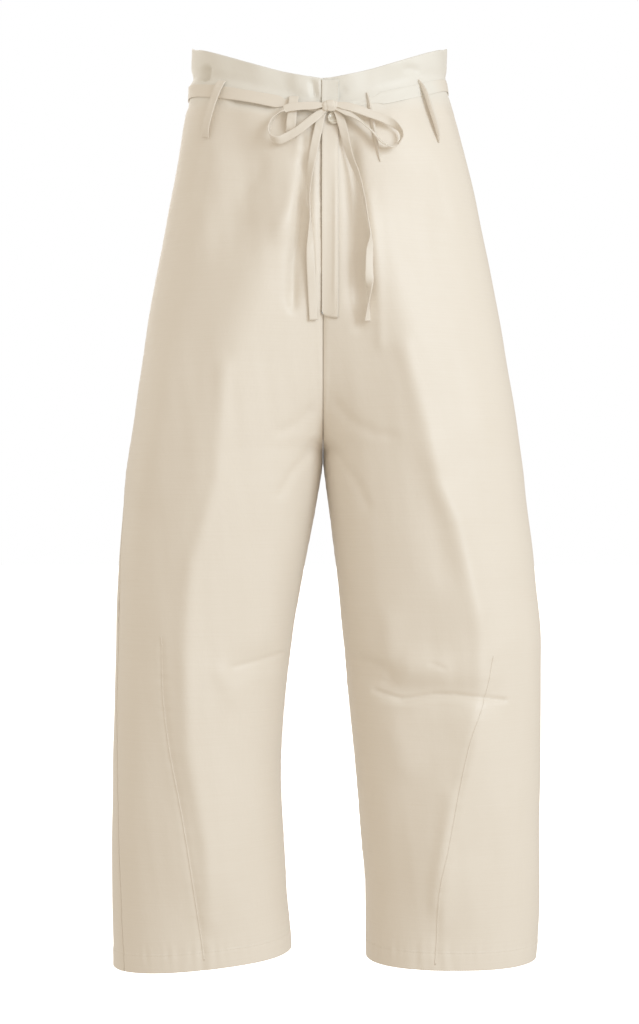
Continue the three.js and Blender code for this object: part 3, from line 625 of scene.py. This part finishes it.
# The centre front is drawn forward beside the seam, most above the crotch.
CENTRE_FILL = dict(rise=14.0, reach=13.0, heights=(-252, -335, -370, -390))
SEAM_RIDGE = dict(dart=1.3, side=1.7, thickness=0.9, lift=0.05, beside=1.2)


def ripple(u, seed, lengths, amount):
    """An uneven wave along u, the sum of a few sines."""
    local = np.random.default_rng(seed)
    wave = np.zeros(np.shape(u))
    for length in lengths:
        height, shift = local.uniform(0.6, 1.0), local.uniform(0, 2 * math.pi)
        wave = wave + height * np.sin(2 * math.pi * u / length + shift)
    return amount * wave / len(lengths)


def bump(away, reach):
    """1 where away is 0, fading over reach."""
    return np.exp(-((away / reach) ** 2))


def fine_relief(side, face, angle, z, p, from_side, from_centre):
    """Creases, seams, puckers and the unevenness of real cloth, over the solids' form."""
    x, height = p[..., 0], p[..., 2]
    seed = {"right": 10, "left": 20}[side] + {"front": 1, "back": 2}[face]
    out = pushed_out(CREASES[face], x, height) * smooth(np.abs(np.sin(angle)) / CALM_SIDE["creases"])
    # Long waves over the whole panel, and shorter ones that run down it.
    out += ripple(x + 0.35 * height, seed, (61, 97, 143), 0.55)
    out += ripple(height - 0.4 * x, seed + 100, (83, 131, 211), 0.5)
    drape = ripple(x + 0.12 * height, seed + 600, (19, 31, 47), 0.34)
    out += drape * (0.6 + ripple(height, seed + 700, (160, 230), 0.6))
    # The seams sink between two ridges, and pucker.
    pucker = ripple(height, seed + 200, (9.5, 14, 23), SEAM["pucker"])
    for distance in (from_side, from_centre):
        out -= SEAM["depth"] * bump(distance, SEAM["reach"])
        out += SEAM["ridge"] * bump(distance - SEAM["ridge_from"], SEAM["ridge_reach"])
        out += pucker * bump(distance, SEAM["pucker_reach"])
    # The hem puckers along its line of stitches, and sinks at it.
    from_stitches = z - HEM - STITCH_LINE
    out += ripple(from_side, seed + 300, (8.5, 12, 19), 0.55) * bump(from_stitches, 9)
    out -= 0.3 * bump(from_stitches, 0.9)
    if face == "front":
        # The dart puckers, most at its foot.
        out += ripple(height, seed + 400, (11, 17, 29), 0.5) * nearness(DART[side], 8, x, height)
        foot = bump(x - DART[side][-1][0], 26) * bump(z - HEM, 26)
        out += ripple(x, seed + 500, (13, 21, 34), 1.1) * foot
    return out


def panel_rows():
    bands = zip(ROWS["z"], ROWS["z"][1:], ROWS["spacing"])
    rows = [np.linspace(top, foot, round((top - foot) / gap), endpoint=False) for top, foot, gap in bands]
    return np.concatenate([*rows, HEM_ROWS])


def panel_angles(side, face, z):
    """The angles of a panel's columns, from the side seam to the centre or inner seam. The outer share of
    them keeps its place round the leg where the two legs join, and the rest closes up."""
    facing = FACING[face]
    allowance = SEAM_GAP / 2 / section(side, z)[1]
    start = np.radians(at(SIDE_SEAM[side], "turn", z)) + facing * allowance
    end = np.where(z <= CROTCH, facing * (math.pi - allowance), angle_at(side, facing, z, SEAM_GAP / 2))
    held = facing * np.minimum(HELD["columns"] * math.pi, HELD["turn"] * np.abs(end))
    start, end, held = start[:, None], end[:, None], held[:, None]
    share = np.linspace(0, 1, COLUMNS[face] + 1)[None, :]
    beyond = (share - HELD["columns"]) / (1 - HELD["columns"])
    keeping = start + (held - start) * share / HELD["columns"]
    return np.where(beyond < 0, keeping, held + (end - held) * beyond)


def off_centre(point, mirror):
    """Keeps the points of a half on its own side of the centre plane."""
    point[..., 0] = mirror * np.maximum(mirror * point[..., 0], SEAM_GAP / 2)


def folded_edge(rows, point, normal):
    """The rows of a folded edge, behind the outer face."""
    k = rows["row"].astype(int)
    folded = point[k] - normal[k] * rows["inside"][:, None, None]
    folded[..., 2] += rows["up"][:, None]
    return folded


def allowance_strips(edge, next_to, normal, v):
    along = unit(edge - next_to)[:, None]
    beyond, behind = ALLOWANCE["beyond"][:, None], ALLOWANCE["behind"][:, None]
    strips = edge[:, None] - normal[:, None] * behind + along * beyond
    at_top = smooth((v - CORNER["above"]) / (TOP - CORNER["above"]))
    strips[..., 2] -= ALLOWANCE["sunk"] * at_top[:, None]
    return strips


def leg_panel(side, face, material):
    mirror = MIRROR[side]
    z = panel_rows()
    angle = panel_angles(side, face, z)
    height = np.broadcast_to(z[:, None], angle.shape)
    point, normal = cloth(side, angle, height)
    corner = 1 - smooth(np.abs(np.sin(angle)) / CORNER["turn"])
    point[..., 2] += CORNER["rise"] * corner * smooth((height - CORNER["above"]) / (TOP - CORNER["above"]))
    off_centre(point, mirror)
    from_side = np.stack([run_along(row) for row in point])
    from_centre = from_side[:, -1:] - from_side
    out = fine_relief(side, face, angle, height, point, from_side, from_centre)
    point = point + normal * out[..., None]
    middle = np.abs(bare(side, angle, height)[..., 0])
    kept = np.where(height > CROTCH, 1 - smooth(from_centre / CENTRE_HELD), 0)
    point[..., 0] += kept * (mirror * middle - point[..., 0])
    if face == "front":
        starts, full, holds, ends = CENTRE_FILL["heights"]
        along = smooth((starts - height) / (starts - full)) * smooth((height - ends) / (holds - ends))
        point[..., 1] -= CENTRE_FILL["rise"] * along * np.exp(-np.abs(point[..., 0]) / CENTRE_FILL["reach"])
    off_centre(point, mirror)
    normal = grid_normals(point, normal)

    def with_folds(rows):
        above, below = rows[:1].repeat(len(WAIST_FOLD["v"]), 0), rows[-1:].repeat(len(HEM_FOLD["v"]), 0)
        return np.concatenate([above, rows, below])

    waist, hem = (folded_edge(rows, point, normal) for rows in (WAIST_FOLD, HEM_FOLD))
    grid = np.concatenate([waist, point, hem])
    v = np.concatenate([WAIST_FOLD["v"], z, HEM_FOLD["v"]])
    u, normal = with_folds(from_side), with_folds(normal)
    strips, strips_u = [grid], [u]
    if face == "front":
        first = allowance_strips(grid[:, 0], grid[:, 2], normal[:, 0], v)
        strips.insert(0, first[:, ::-1])
        strips_u.insert(0, u[:, :1] - ALLOWANCE["u"][::-1])
    if side == "left" or face == "front":
        last = allowance_strips(grid[:, -1], grid[:, -3], normal[:, -1], v)
        if side == "right":  # above the crotch only the left half has one
            flat = grid[:, -1:] - COLLAPSED * np.arange(len(ALLOWANCE["u"]))[:, None]
            last = np.where((v > CROTCH)[:, None, None], flat, last)
        strips.append(last)
        strips_u.append(u[:, -1:] + ALLOWANCE["u"])
    whole, u = np.concatenate(strips, axis=1), np.concatenate(strips_u, axis=1)
    uv = np.stack([mirror * u, np.broadcast_to(v[:, None], u.shape)], axis=-1)
    faces = grid_faces(*u.shape)
    if FACING[face] * mirror < 0:
        faces = faces[:, ::-1]
    piece = make_piece(f"cloth_{face}_{side}", whole, faces, uv, material)
    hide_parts(f"{face}_{side}")
    width = u[:, -1] - u[:, 0]
    flat = (float(width.max() + 2) * MM, (TOP - HEM + TURNED_TOP + TURNED_HEM) * MM)
    return piece


# ---------------- straps, stitches and small parts
TRIM = 1.2
CROWN = 0.15  # how much thicker a strap is along its middle
# The tie round the waist rises off the cloth towards the knot and narrows to a neck before it. Past a given
# length along it, its cloth takes on the paler, cooler colour painted above the tie for light shining
# through.
BELT = dict(
    width=13.5, gap=0.75, rise=2.6, rise_from=34, neck=7.5, neck_from=46, neck_to=56, columns=120,
    painted_light_from=645,
)
BELT_START = dict(right=0.02, left=0.165)  # radians from the middle of the front
BELT_SUNK = dict(right=0.35, left=1.0)  # how far the front of the belt is drawn into the gathers
BELT_LIFT = dict(right=1.5, left=9.0, power=4)
LOOP = dict(width=10, steps=40, gap=0.75, crowding=0.09, flatness=4, taper=0.16, folded=76, opened=15)
# Name, face, x and z of the top and of the foot, how far the loop bows out, and its twist in degrees.
LOOPS = [
    ("belt_loop_front_right_outer", "front", (-106.5, 4), (-124, -56.5), 5, 0),
    ("belt_loop_front_right_inner", "front", (-30.5, -17), (-34, -56), 4.4, 0),
    ("belt_loop_front_left_inner", "front", (46, -12), (59.5, -87), 3.8, 12),
    ("belt_loop_front_left_outer", "front", (101, 6), (122.5, -62), 7.5, 50),
    ("belt_loop_back_right", "back", (-74, 10), (-80, -52), 4.5, 0),
    ("belt_loop_back_centre", "back", (0, 7), (0, -54), 4.5, 0),
    ("belt_loop_back_left", "back", (74, 10), (80, -52), 4.5, 0),
]
# Loops that are folded along their length, so that they show as a narrow spindle.
FOLDED_LOOPS = ("belt_loop_front_left_inner", "belt_loop_front_left_outer")
FLY_TOP = TOP - DIP["front"][0]
PLACKET = {"from": -1.5, "to": 16, "below_top": 1.5, "foot": -251, "corner": 8, "gap": 0.8}
BUTTON = dict(x=11.7, z=-41.5, radius=7, thickness=2.6, seat=0.5)
KNOT = dict(x=7.5, z=-30.5, lift=8.4, radii=(9.8, 4.6, 6.4))
TIE = dict(width=9, at_knot=0.45, opens_over=15, steps=18, bunched=0.35)
# The free runs of the tie: x, z, how far its middle lies off the cloth, and its twist in degrees.
ROUTES = {
    "tie_bow_right": [
        (4, -30, 10, 0), (-10, -30.8, 10.2, 0), (-28, -31.8, 9.8, 0), (-40, -34, 9.4, 40),
        (-48, -40, 9, 80), (-53.5, -47.5, 8.6, 92), (-55.5, -55, 8.4, 92), (-53, -63, 8.2, 78),
        (-46, -66.5, 8, 40), (-36, -62.5, 7.8, 10), (-25, -56, 7.8, 0), (-13, -46, 7.8, 0),
        (-3, -38, 8, 0), (5, -33, 8.2, 0),
    ],
    "tie_bow_left": [
        (10, -29, 10, 0), (18, -30.2, 10.2, 0), (32, -33.6, 10.2, 0), (48.8, -38.9, 9.8, 0),
        (62, -43.6, 9.4, 10), (71.5, -48.8, 9, 50), (78.5, -55.5, 8.6, 84), (80, -62, 8.4, 90),
        (76.5, -68.5, 8.4, 80), (69.5, -72.3, 9, 60), (60.5, -69.5, 11, 60), (48.8, -57.1, 11.6, 62),
        (35.5, -45.5, 11.2, 54), (24, -38.4, 9.8, 24), (13, -33, 8.8, 0),
    ],
    "tie_tail_right": [
        (4, -33, 5.9, 0), (-2.5, -42, 5.7, 0), (-5, -53, 5, 0), (-9.4, -74, 4.6, 10),
        (-14, -104, 5.6, 50), (-14.8, -126, 6, 76), (-13.6, -144, 6, 92), (-13.4, -166, 5.6, 126),
        (-13.6, -187, 4.6, 168), (-12.6, -215, 3.6, 180), (-11, -253, 2.6, 180),
    ],
    "tie_tail_left": [
        (12, -34, 6.6, 0), (17.5, -43, 6.6, 4), (20.5, -53, 6.2, 14), (24, -68, 6, 34),
        (28.5, -83, 6.4, 52), (35, -101, 6.8, 66), (40.4, -123, 7.6, 82), (45, -148, 7.4, 94),
        (48.6, -169, 7, 108), (47.6, -184, 6.6, 148), (47.6, -203, 6.6, 160), (48, -222, 6.6, 232),
        (47.4, -240, 5.2, 280), (46.7, -255, 3.4, 310),
    ],
}
ROUTES = {name: table("x z lift twist", *rows) for name, rows in ROUTES.items()}


def strap_mesh(name, points, across, widths, thickness, material, crown=0.0, dent=None, fold=0.0):
    """A flat strap with rounded edges. across is the direction of its width at each point, and fold the angle
    by which each half of its width turns back from there. Returns the strap and its length."""
    points, widths = np.asarray(points), np.asarray(widths, float)
    along = unit(np.gradient(points, axis=0))
    wide = unit(across - along * (across * along).sum(1, keepdims=True))
    thick = np.cross(along, wide)
    # Half of the strap's section: across its width and through its thickness, each from -1 to 1.
    face = np.array([-1, -0.97, -0.86, -0.6, -0.3, 0, 0.3, 0.6, 0.86, 0.97, 1])
    edge = np.array([0, 0.6, 1, 1, 1, 1, 1, 1, 1, 0.6, 0])
    over = np.concatenate([face, face[-2:0:-1]])[None, :]
    through = np.concatenate([edge, -edge[1:-1]])[None, :]
    w = over * widths[:, None] / 2
    t = through * thickness / 2 + crown * (1 - over**2)
    if dent is not None:
        t = t + dent(np.linspace(0, 1, len(points))[:, None], over)
    bent = np.broadcast_to(fold, len(points))[:, None]
    level = w * np.cos(bent) - t * np.sin(bent) * np.sign(w)
    deep = t * np.cos(bent) + np.abs(w) * np.sin(bent)
    ring = points[:, None] + wide[:, None] * level[..., None] + thick[:, None] * deep[..., None]
    length = run_along(points)
    uv = np.stack(np.broadcast_arrays(w, length[:, None]), axis=-1)
    piece = make_piece(name, ring, tube_faces(*w.shape), uv, material)
    return piece, float(length[-1])


def eased(count):
    share = np.linspace(0, 1, count)
    return share - LOOP["crowding"] * np.sin(2 * math.pi * share)


def belt_loops(material):
    share = eased(LOOP["steps"])
    swell = np.sin(math.pi * share)
    for number, (name, face, top, foot, bulge, twist) in enumerate(LOOPS):
        x, z = (start + (end - start) * share for start, end in zip(top, foot))
        point, normal = cloth_at(face, x, z)
        lift = LOOP["gap"] + TRIM / 2 + bulge * (1 - np.abs(2 * share - 1) ** LOOP["flatness"])
        along = unit(np.array([foot[0] - top[0], 0, foot[1] - top[1]])) * np.ones_like(normal)
        widths = LOOP["width"] * (1 + 0.03 * np.sin(share * 9 + number))
        fold = 0.0
        if name in FOLDED_LOOPS:
            twist, fold = 0, np.radians(LOOP["folded"] - LOOP["opened"] * swell)
            widths = widths * (0.25 + 0.75 * smooth(np.minimum(share, 1 - share) / LOOP["taper"]))
        across = turned(np.cross(along, normal), along, math.radians(twist) * swell)
        dent = lambda s, w, k=number: ripple(s * 60 + 9 * w, 40 + k, (17, 29), 0.16)
        middle = point + normal * lift[:, None]
        piece, length = strap_mesh("cloth_" + name, middle, across, widths, TRIM, material, CROWN, dent, fold)
        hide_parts(name)


def tie_belt(material):
    """The run of the tie round the waist, from the knot round the back to the knot."""
    front, back = math.pi / 2, -math.pi / 2
    halves = ("right", front - BELT_START["right"], back), ("left", back, front - BELT_START["left"])
    points, across, widths, thickness = [], [], [], []
    for side, start, end in halves:
        angle = np.linspace(start, end, BELT["columns"])[int(side == "left"):]
        in_front = angle > 0
        flat_x = bare(side, angle, 0.0)[:, 0]
        lift = BELT_LIFT[side] * (np.abs(flat_x) / at(OUTLINE[side], "outer", 0.0)) ** BELT_LIFT["power"]
        past_neck = np.abs(flat_x - KNOT["x"]) - BELT["neck_from"]
        opened = smooth(past_neck / (BELT["neck_to"] - BELT["neck_from"]))
        width = BELT["neck"] + (BELT["width"] - BELT["neck"]) * np.where(in_front, opened, 1)
        upper, lower = (cloth(side, angle, half * width + lift)[0] for half in (0.5, -0.5))
        point, normal = cloth(side, angle, lift)
        rise = BELT["rise"] * smooth(1 - (np.abs(point[:, 0]) - KNOT["x"]) / BELT["rise_from"])
        sunk = np.where(in_front, BELT_SUNK[side], 0)
        off = (BELT["gap"] + TRIM / 2) * (1 - 0.75 * sunk) + np.where(in_front, rise, 0)
        points.append((point + upper + lower) / 3 + normal * off[:, None])
        across.append(unit(upper - lower))
        widths.append(width)
        thickness.append(TRIM * (1 - 0.6 * sunk))
    points, across, widths, thickness = map(np.concatenate, (points, across, widths, thickness))
    s = np.linspace(0, 1, len(points))
    widths = widths * (1 + 0.03 * np.sin(s * 37) + 0.02 * np.sin(s * 83 + 1))
    dent = lambda a, w: ripple(a * 560 + 12 * w, 77, (21, 34, 55), 0.22)
    thickness = thickness[:, None]
    piece, length = strap_mesh("cloth_tie_belt", points, across, widths, thickness, material, CROWN, dent)
    # Painted light: the cut cloth is moved so that the belt's far part takes the paler colour painted above
    # the tie.
    for corner in piece.data.uv_layers["cut"].data:
        corner.uv[1] -= BELT["painted_light_from"] * MM
    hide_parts("tie_belt")


def catmull(points, count):
    """Points along a centripetal Catmull-Rom curve through points, evenly spaced in its parameter."""
    points = np.asarray(points, float)
    padded = np.concatenate([[2 * points[0] - points[1]], points, [2 * points[-1] - points[-2]]])
    gaps = np.maximum(np.linalg.norm(np.diff(padded, axis=0), axis=1) ** 0.5, 1e-6)
    # Each round blends neighbours between these two of the four knots, until one point is left.
    rounds = (([0, 1, 2], [1, 2, 3]), ([0, 1], [2, 3]), ([1], [2]))
    result = []
    for t in np.linspace(0, len(points) - 1, count):
        i = min(int(t), len(points) - 2)
        knots = np.concatenate([[0], np.cumsum(gaps[i:i + 3])])
        u = knots[1] + (knots[2] - knots[1]) * (t - i)
        blended = padded[i:i + 4]
        for start, end in rounds:
            share = ((u - knots[start]) / (knots[end] - knots[start]))[:, None]
            blended = (1 - share) * blended[:-1] + share * blended[1:]
        result.append(blended[0])
    return np.array(result)


def turned(vectors, axes, angles):
    """Vectors turned about unit axes by angles."""
    c, s = np.cos(angles)[:, None], np.sin(angles)[:, None]
    dot = (vectors * axes).sum(1, keepdims=True)
    return vectors * c + np.cross(axes, vectors) * s + axes * dot * (1 - c)


def tie_runs(material):
    """The bow and the two tails, each a flat strap along its route."""
    for number, (name, rows) in enumerate(ROUTES.items()):
        spots, normals = cloth_at("front", rows["x"], rows["z"])
        spots = spots + normals * rows["lift"][:, None]
        order = np.arange(len(spots))
        count = TIE["steps"] * len(spots)
        points = catmull(spots, count)
        twist = catmull(np.stack([order, rows["twist"]], 1), count)
        twist = np.interp(np.linspace(0, order[-1], count), twist[:, 0], twist[:, 1])
        along = unit(np.gradient(points, axis=0))
        _, normal = cloth_at("front", points[:, 0], points[:, 2])
        across = turned(unit(np.cross(along, normal)), along, np.radians(twist))
        length = run_along(points)
        opened = smooth(length / TIE["opens_over"])
        returns = name.startswith("tie_bow")
        if returns:
            opened = opened * smooth((length[-1] - length) / TIE["opens_over"])
        widths = TIE["width"] * (TIE["at_knot"] + (1 - TIE["at_knot"]) * opened)
        dent = lambda s, w, k=number, n=length[-1]: ripple(s * n + 7 * w, 60 + k, (13, 23, 41), 0.2)
        crown = CROWN + TIE["bunched"] * (1 - opened)
        piece, _ = strap_mesh("cloth_" + name, points, across, widths, TRIM, material, crown[:, None], dent)
        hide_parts(name)


def tie_knot(material):
    """The knot: the tie wrapped over itself, wider than tall, with folds that run into its two sides."""
    place, normal = cloth_at("front", KNOT["x"], KNOT["z"])
    rows, columns = 49, 72
    latitude = np.linspace(-math.pi / 2, math.pi / 2, rows)[:, None]
    longitude = np.linspace(0, 2 * math.pi, columns, endpoint=False)[None, :]
    # The poles lie to the two sides, so that the folds run from one side to the other.
    side = np.sin(latitude) * np.ones_like(longitude)
    ring = np.cos(latitude)
    up, front = ring * np.sin(longitude), -ring * np.cos(longitude)
    folds = 0.055 * np.cos(longitude * 5 + 1.2 * side) * ring
    wrap = 0.06 * bump(side - 0.1, 0.42)
    creases = (0.10 * bump(side + 0.42 + 0.1 * up, 0.07) + 0.09 * bump(side - 0.58 + 0.12 * up, 0.07)) * ring
    boxy = (np.abs(side) ** 3.2 + np.abs(front) ** 3.2 + np.abs(up) ** 3.2) ** (-1 / 3.2)
    scale = boxy * (0.84 + folds + wrap - creases)
    shape = np.stack([side, front, up], axis=-1) * scale[..., None] * np.array(KNOT["radii"])
    points = place + normal * KNOT["lift"] + shape
    uv = np.stack(np.broadcast_arrays(longitude * KNOT["radii"][2], side * KNOT["radii"][0]), axis=-1)
    piece = make_piece("cloth_tie_knot", points, grid_faces(rows, columns, closed=True), uv, material)
    merge(piece)
    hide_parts("tie_knot")


def merge(piece, distance=1e-6):
    """Joins points that lie on each other, and faces the normals out."""
    work = bmesh.new()
    work.from_mesh(piece.data)
    bmesh.ops.remove_doubles(work, verts=work.verts, dist=distance)
    bmesh.ops.recalc_face_normals(work, faces=work.faces)
    work.to_mesh(piece.data)
    work.free()


def fly_placket(material):
    """The lap over the centre seam: its free edge is folded under and its foot is cut round."""
    rows, columns = 120, 22
    top = FLY_TOP - PLACKET["below_top"]
    share = np.linspace(0, 1, rows)[:, None]
    across = np.linspace(0, 1, columns)[None, :]
    x = PLACKET["from"] + (PLACKET["to"] - PLACKET["from"]) * across * np.ones_like(share)
    rounded = PLACKET["corner"] * (1 - np.sqrt(1 - (1 - across) ** 2))
    z = top + (PLACKET["foot"] + rounded - top) * share
    point, normal = (found.reshape(rows, columns, 3) for found in cloth_along("front", x.ravel(), z.ravel()))
    point[..., 0] = x
    puff = 0.9 * bump(across - 0.06, 0.2) * smooth(share * 8) * (0.5 + 0.5 * share)
    ridge = 1.1 * bump(across - 0.8, 0.14) * smooth((share - 0.3) * 4) * smooth((1 - share) * 6)
    line = -0.35 * bump(across - 0.93, 0.03)
    wave = ripple(z, 81, (31, 47, 73), 0.35)
    outer = point + normal * (PLACKET["gap"] + TRIM + puff + ridge + line + wave)[..., None]
    inner = point + normal * (PLACKET["gap"] + 0.1 * puff)[..., None]
    ring = np.concatenate([outer, inner[:, ::-1]], axis=1)
    # The cut cloth's own heights, which lie above these places by the dip of the waist.
    heights = DIP["z"][:4]
    v = np.interp(z, (heights - DIP["front"][:4])[::-1], heights[::-1])
    u = np.concatenate([x, 2 * PLACKET["to"] - x[:, ::-1]], axis=1)
    uv = np.stack([u, np.concatenate([v, v[:, ::-1]], axis=1)], axis=-1)
    piece = make_piece("cloth_fly_placket", ring, tube_faces(rows, 2 * columns), uv, material)
    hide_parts("fly_placket")
    return piece


def button(material, cotton):
    """A round button with a raised rim, and the thread that sews it on."""
    place, normal = cloth_at("front", BUTTON["x"], BUTTON["z"])
    base = place + normal * (PLACKET["gap"] + TRIM + SEAM_GAP + BUTTON["seat"])
    across = unit(np.cross([0, 0, 1.0], normal))
    up = np.cross(normal, across)
    r, h = BUTTON["radius"], BUTTON["thickness"]
    profile = np.array([
        (0, 0), (r - 0.9, 0), (r - 0.3, 0.2), (r, 0.7), (r, h - 0.8), (r - 0.2, h - 0.25), (r - 0.7, h),
        (r - 1.3, h - 0.05), (r - 1.9, h - 0.5), (r - 2.4, h - 0.95), (r - 3.2, h - 1.15), (1.2, h - 1.2),
        (0, h - 1.2),
    ])
    turn = np.linspace(0, 2 * math.pi, 64, endpoint=False)[None, :, None]
    outward = np.cos(turn) * across + np.sin(turn) * up
    ring = base + profile[:, None, :1] * outward + profile[:, None, 1:] * normal
    faces = grid_faces(*ring.shape[:2], closed=True)
    piece = make_piece("shell_button", ring, faces, np.zeros(ring.shape[:2] + (2,)), material)
    merge(piece)
    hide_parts("waist_button")
    top = base + normal * (h - 1.1)
    segments = []
    for x in (-1.36, 1.04, -1.04, 1.36):
        middle = top + across * x
        segments.append((middle - up * 1.3, middle + up * 1.3, normal))
    stitches("thread_button", segments, 0.2, cotton, arch=0.5)


def stitches(name, segments, radius, material, arch=0.12):
    """Short stitches: each a thin arched capsule from a to b, proud of the cloth along a normal."""
    sides, steps = 6, 5
    share = np.linspace(0, 1, steps)[:, None]
    turn = 2 * math.pi * np.arange(sides)[None, :, None] / sides
    size = radius * (0.35 + 0.65 * np.sin(math.pi * np.clip(share, 0.06, 0.94)) ** 0.5)[..., None]
    rise = arch * 4 * share * (1 - share) - radius * 0.5
    uv = np.stack(np.broadcast_arrays(0.3 * np.arange(sides), share), axis=-1)
    points, faces = [], []
    for a, b, normal in segments:
        wide = np.cross(unit(b - a), normal)
        centre = a + (b - a) * share + normal * rise
        faces += [[k + len(points) * steps * sides for k in face[::-1]] for face in tube_faces(steps, sides)]
        points.append(centre[:, None] + size * (wide * np.cos(turn) + normal * np.sin(turn)))
    piece = make_piece(name, points, faces, [uv] * len(points), material)
    return piece


def stitch_line(path, normals, length=2.4, gap=0.9, lift=0.05):
    """Segments of a line of stitches along a path of points."""
    run = run_along(path)
    starts = np.arange(0, run[-1] - length, length + gap)
    find = lambda s, values: np.stack([np.interp(s, run, values[:, k]) for k in range(3)], axis=-1)
    n = find(starts + length / 2, normals)
    return list(zip(find(starts, path) + lift * n, find(starts + length, path) + lift * n, n))


def seam_ridge(name, point, normal, material, width, fade):
    """A raised seam line, where the turnings push a narrow welt out. It fades in over a share of its run."""
    share = np.linspace(0, 1, len(point))
    across = np.cross(np.gradient(point, axis=0), normal)
    widths = width * (0.25 + 0.75 * smooth(share / fade)) * (1 + 0.1 * np.sin(share * 90))
    piece, _ = strap_mesh(name, point, across, widths, SEAM_RIDGE["thickness"], material)


def seam_ridges(panels, material):
    """The lines of the two long darts and of the two outer side seams."""
    lift = SEAM_RIDGE["lift"]
    for side in ("right", "left"):
        surface = surface_of(panels["front", side])
        point, normal = cloth_at("front", *catmull(DART[side], 160).T)
        point = laid_on(surface, point, normal, lift)
        seam_ridge("seam_dart_" + side, point, normal, material, SEAM_RIDGE["dart"], 0.25)
        z = np.linspace(TOP - 2, HEM + 1, 320)
        angle = np.radians(at(SIDE_SEAM[side], "turn", z))
        beside, normal = cloth(side, angle + SEAM_RIDGE["beside"] / section(side, z)[1], z)
        raised = ((laid_on(surface, beside, normal, 0.0) - beside) * normal).sum(1, keepdims=True)
        point, normal = cloth(side, angle, z)
        point = point + normal * (raised + lift)
        seam_ridge("seam_side_" + side, point, normal, material, SEAM_RIDGE["side"], 0.02)


def sewing(panels, placket, cotton):
    """Lines of stitches along the hems and the fly."""
    segments = []
    for (face, side), panel in panels.items():
        angle = np.linspace(0.02, math.pi - 0.02, 200) * FACING[face]
        point, normal = cloth(side, angle + np.radians(at(SIDE_SEAM[side], "turn", HEM)), HEM + STITCH_LINE)
        segments += stitch_line(laid_on(surface_of(panel), point, normal, 0.0), normal)
    # Down the fly beside its free edge, then round to the centre seam.
    edge, foot = PLACKET["to"] - 1.4, PLACKET["foot"] + 12
    z = np.linspace(FLY_TOP - 4, foot, 160)
    turn = np.linspace(0, math.pi / 2, 30)
    x = np.concatenate([np.full(z.shape, edge), edge - 12 * (1 - np.cos(turn))])
    z = np.concatenate([z, foot - 10 * np.sin(turn)])
    point, normal = cloth_along("front", x, z)
    segments += stitch_line(laid_on(surface_of(placket), point, normal, 0.0), normal)
    stitches("thread_seams", segments, 0.17, cotton)


# ---------------- the trousers
make_camera()
make_studio()
# The cloth above the tie is painted paler and cooler, for light that shines through it: painted light.
ivory = silk("silk", frill_painted_light=True)
ivory_trim = silk("silk_trim", 0.985)
cotton = thread("thread")
tie_runs(ivory_trim)
panels = {(face, side): leg_panel(side, face, ivory) for side in MIRROR for face in FACING}
placket = fly_placket(ivory)
belt_loops(ivory_trim)
tie_belt(ivory)
tie_knot(ivory_trim)
button(shell("shell"), cotton)
seam_ridges(panels, ivory_trim)
sewing(panels, placket, cotton)
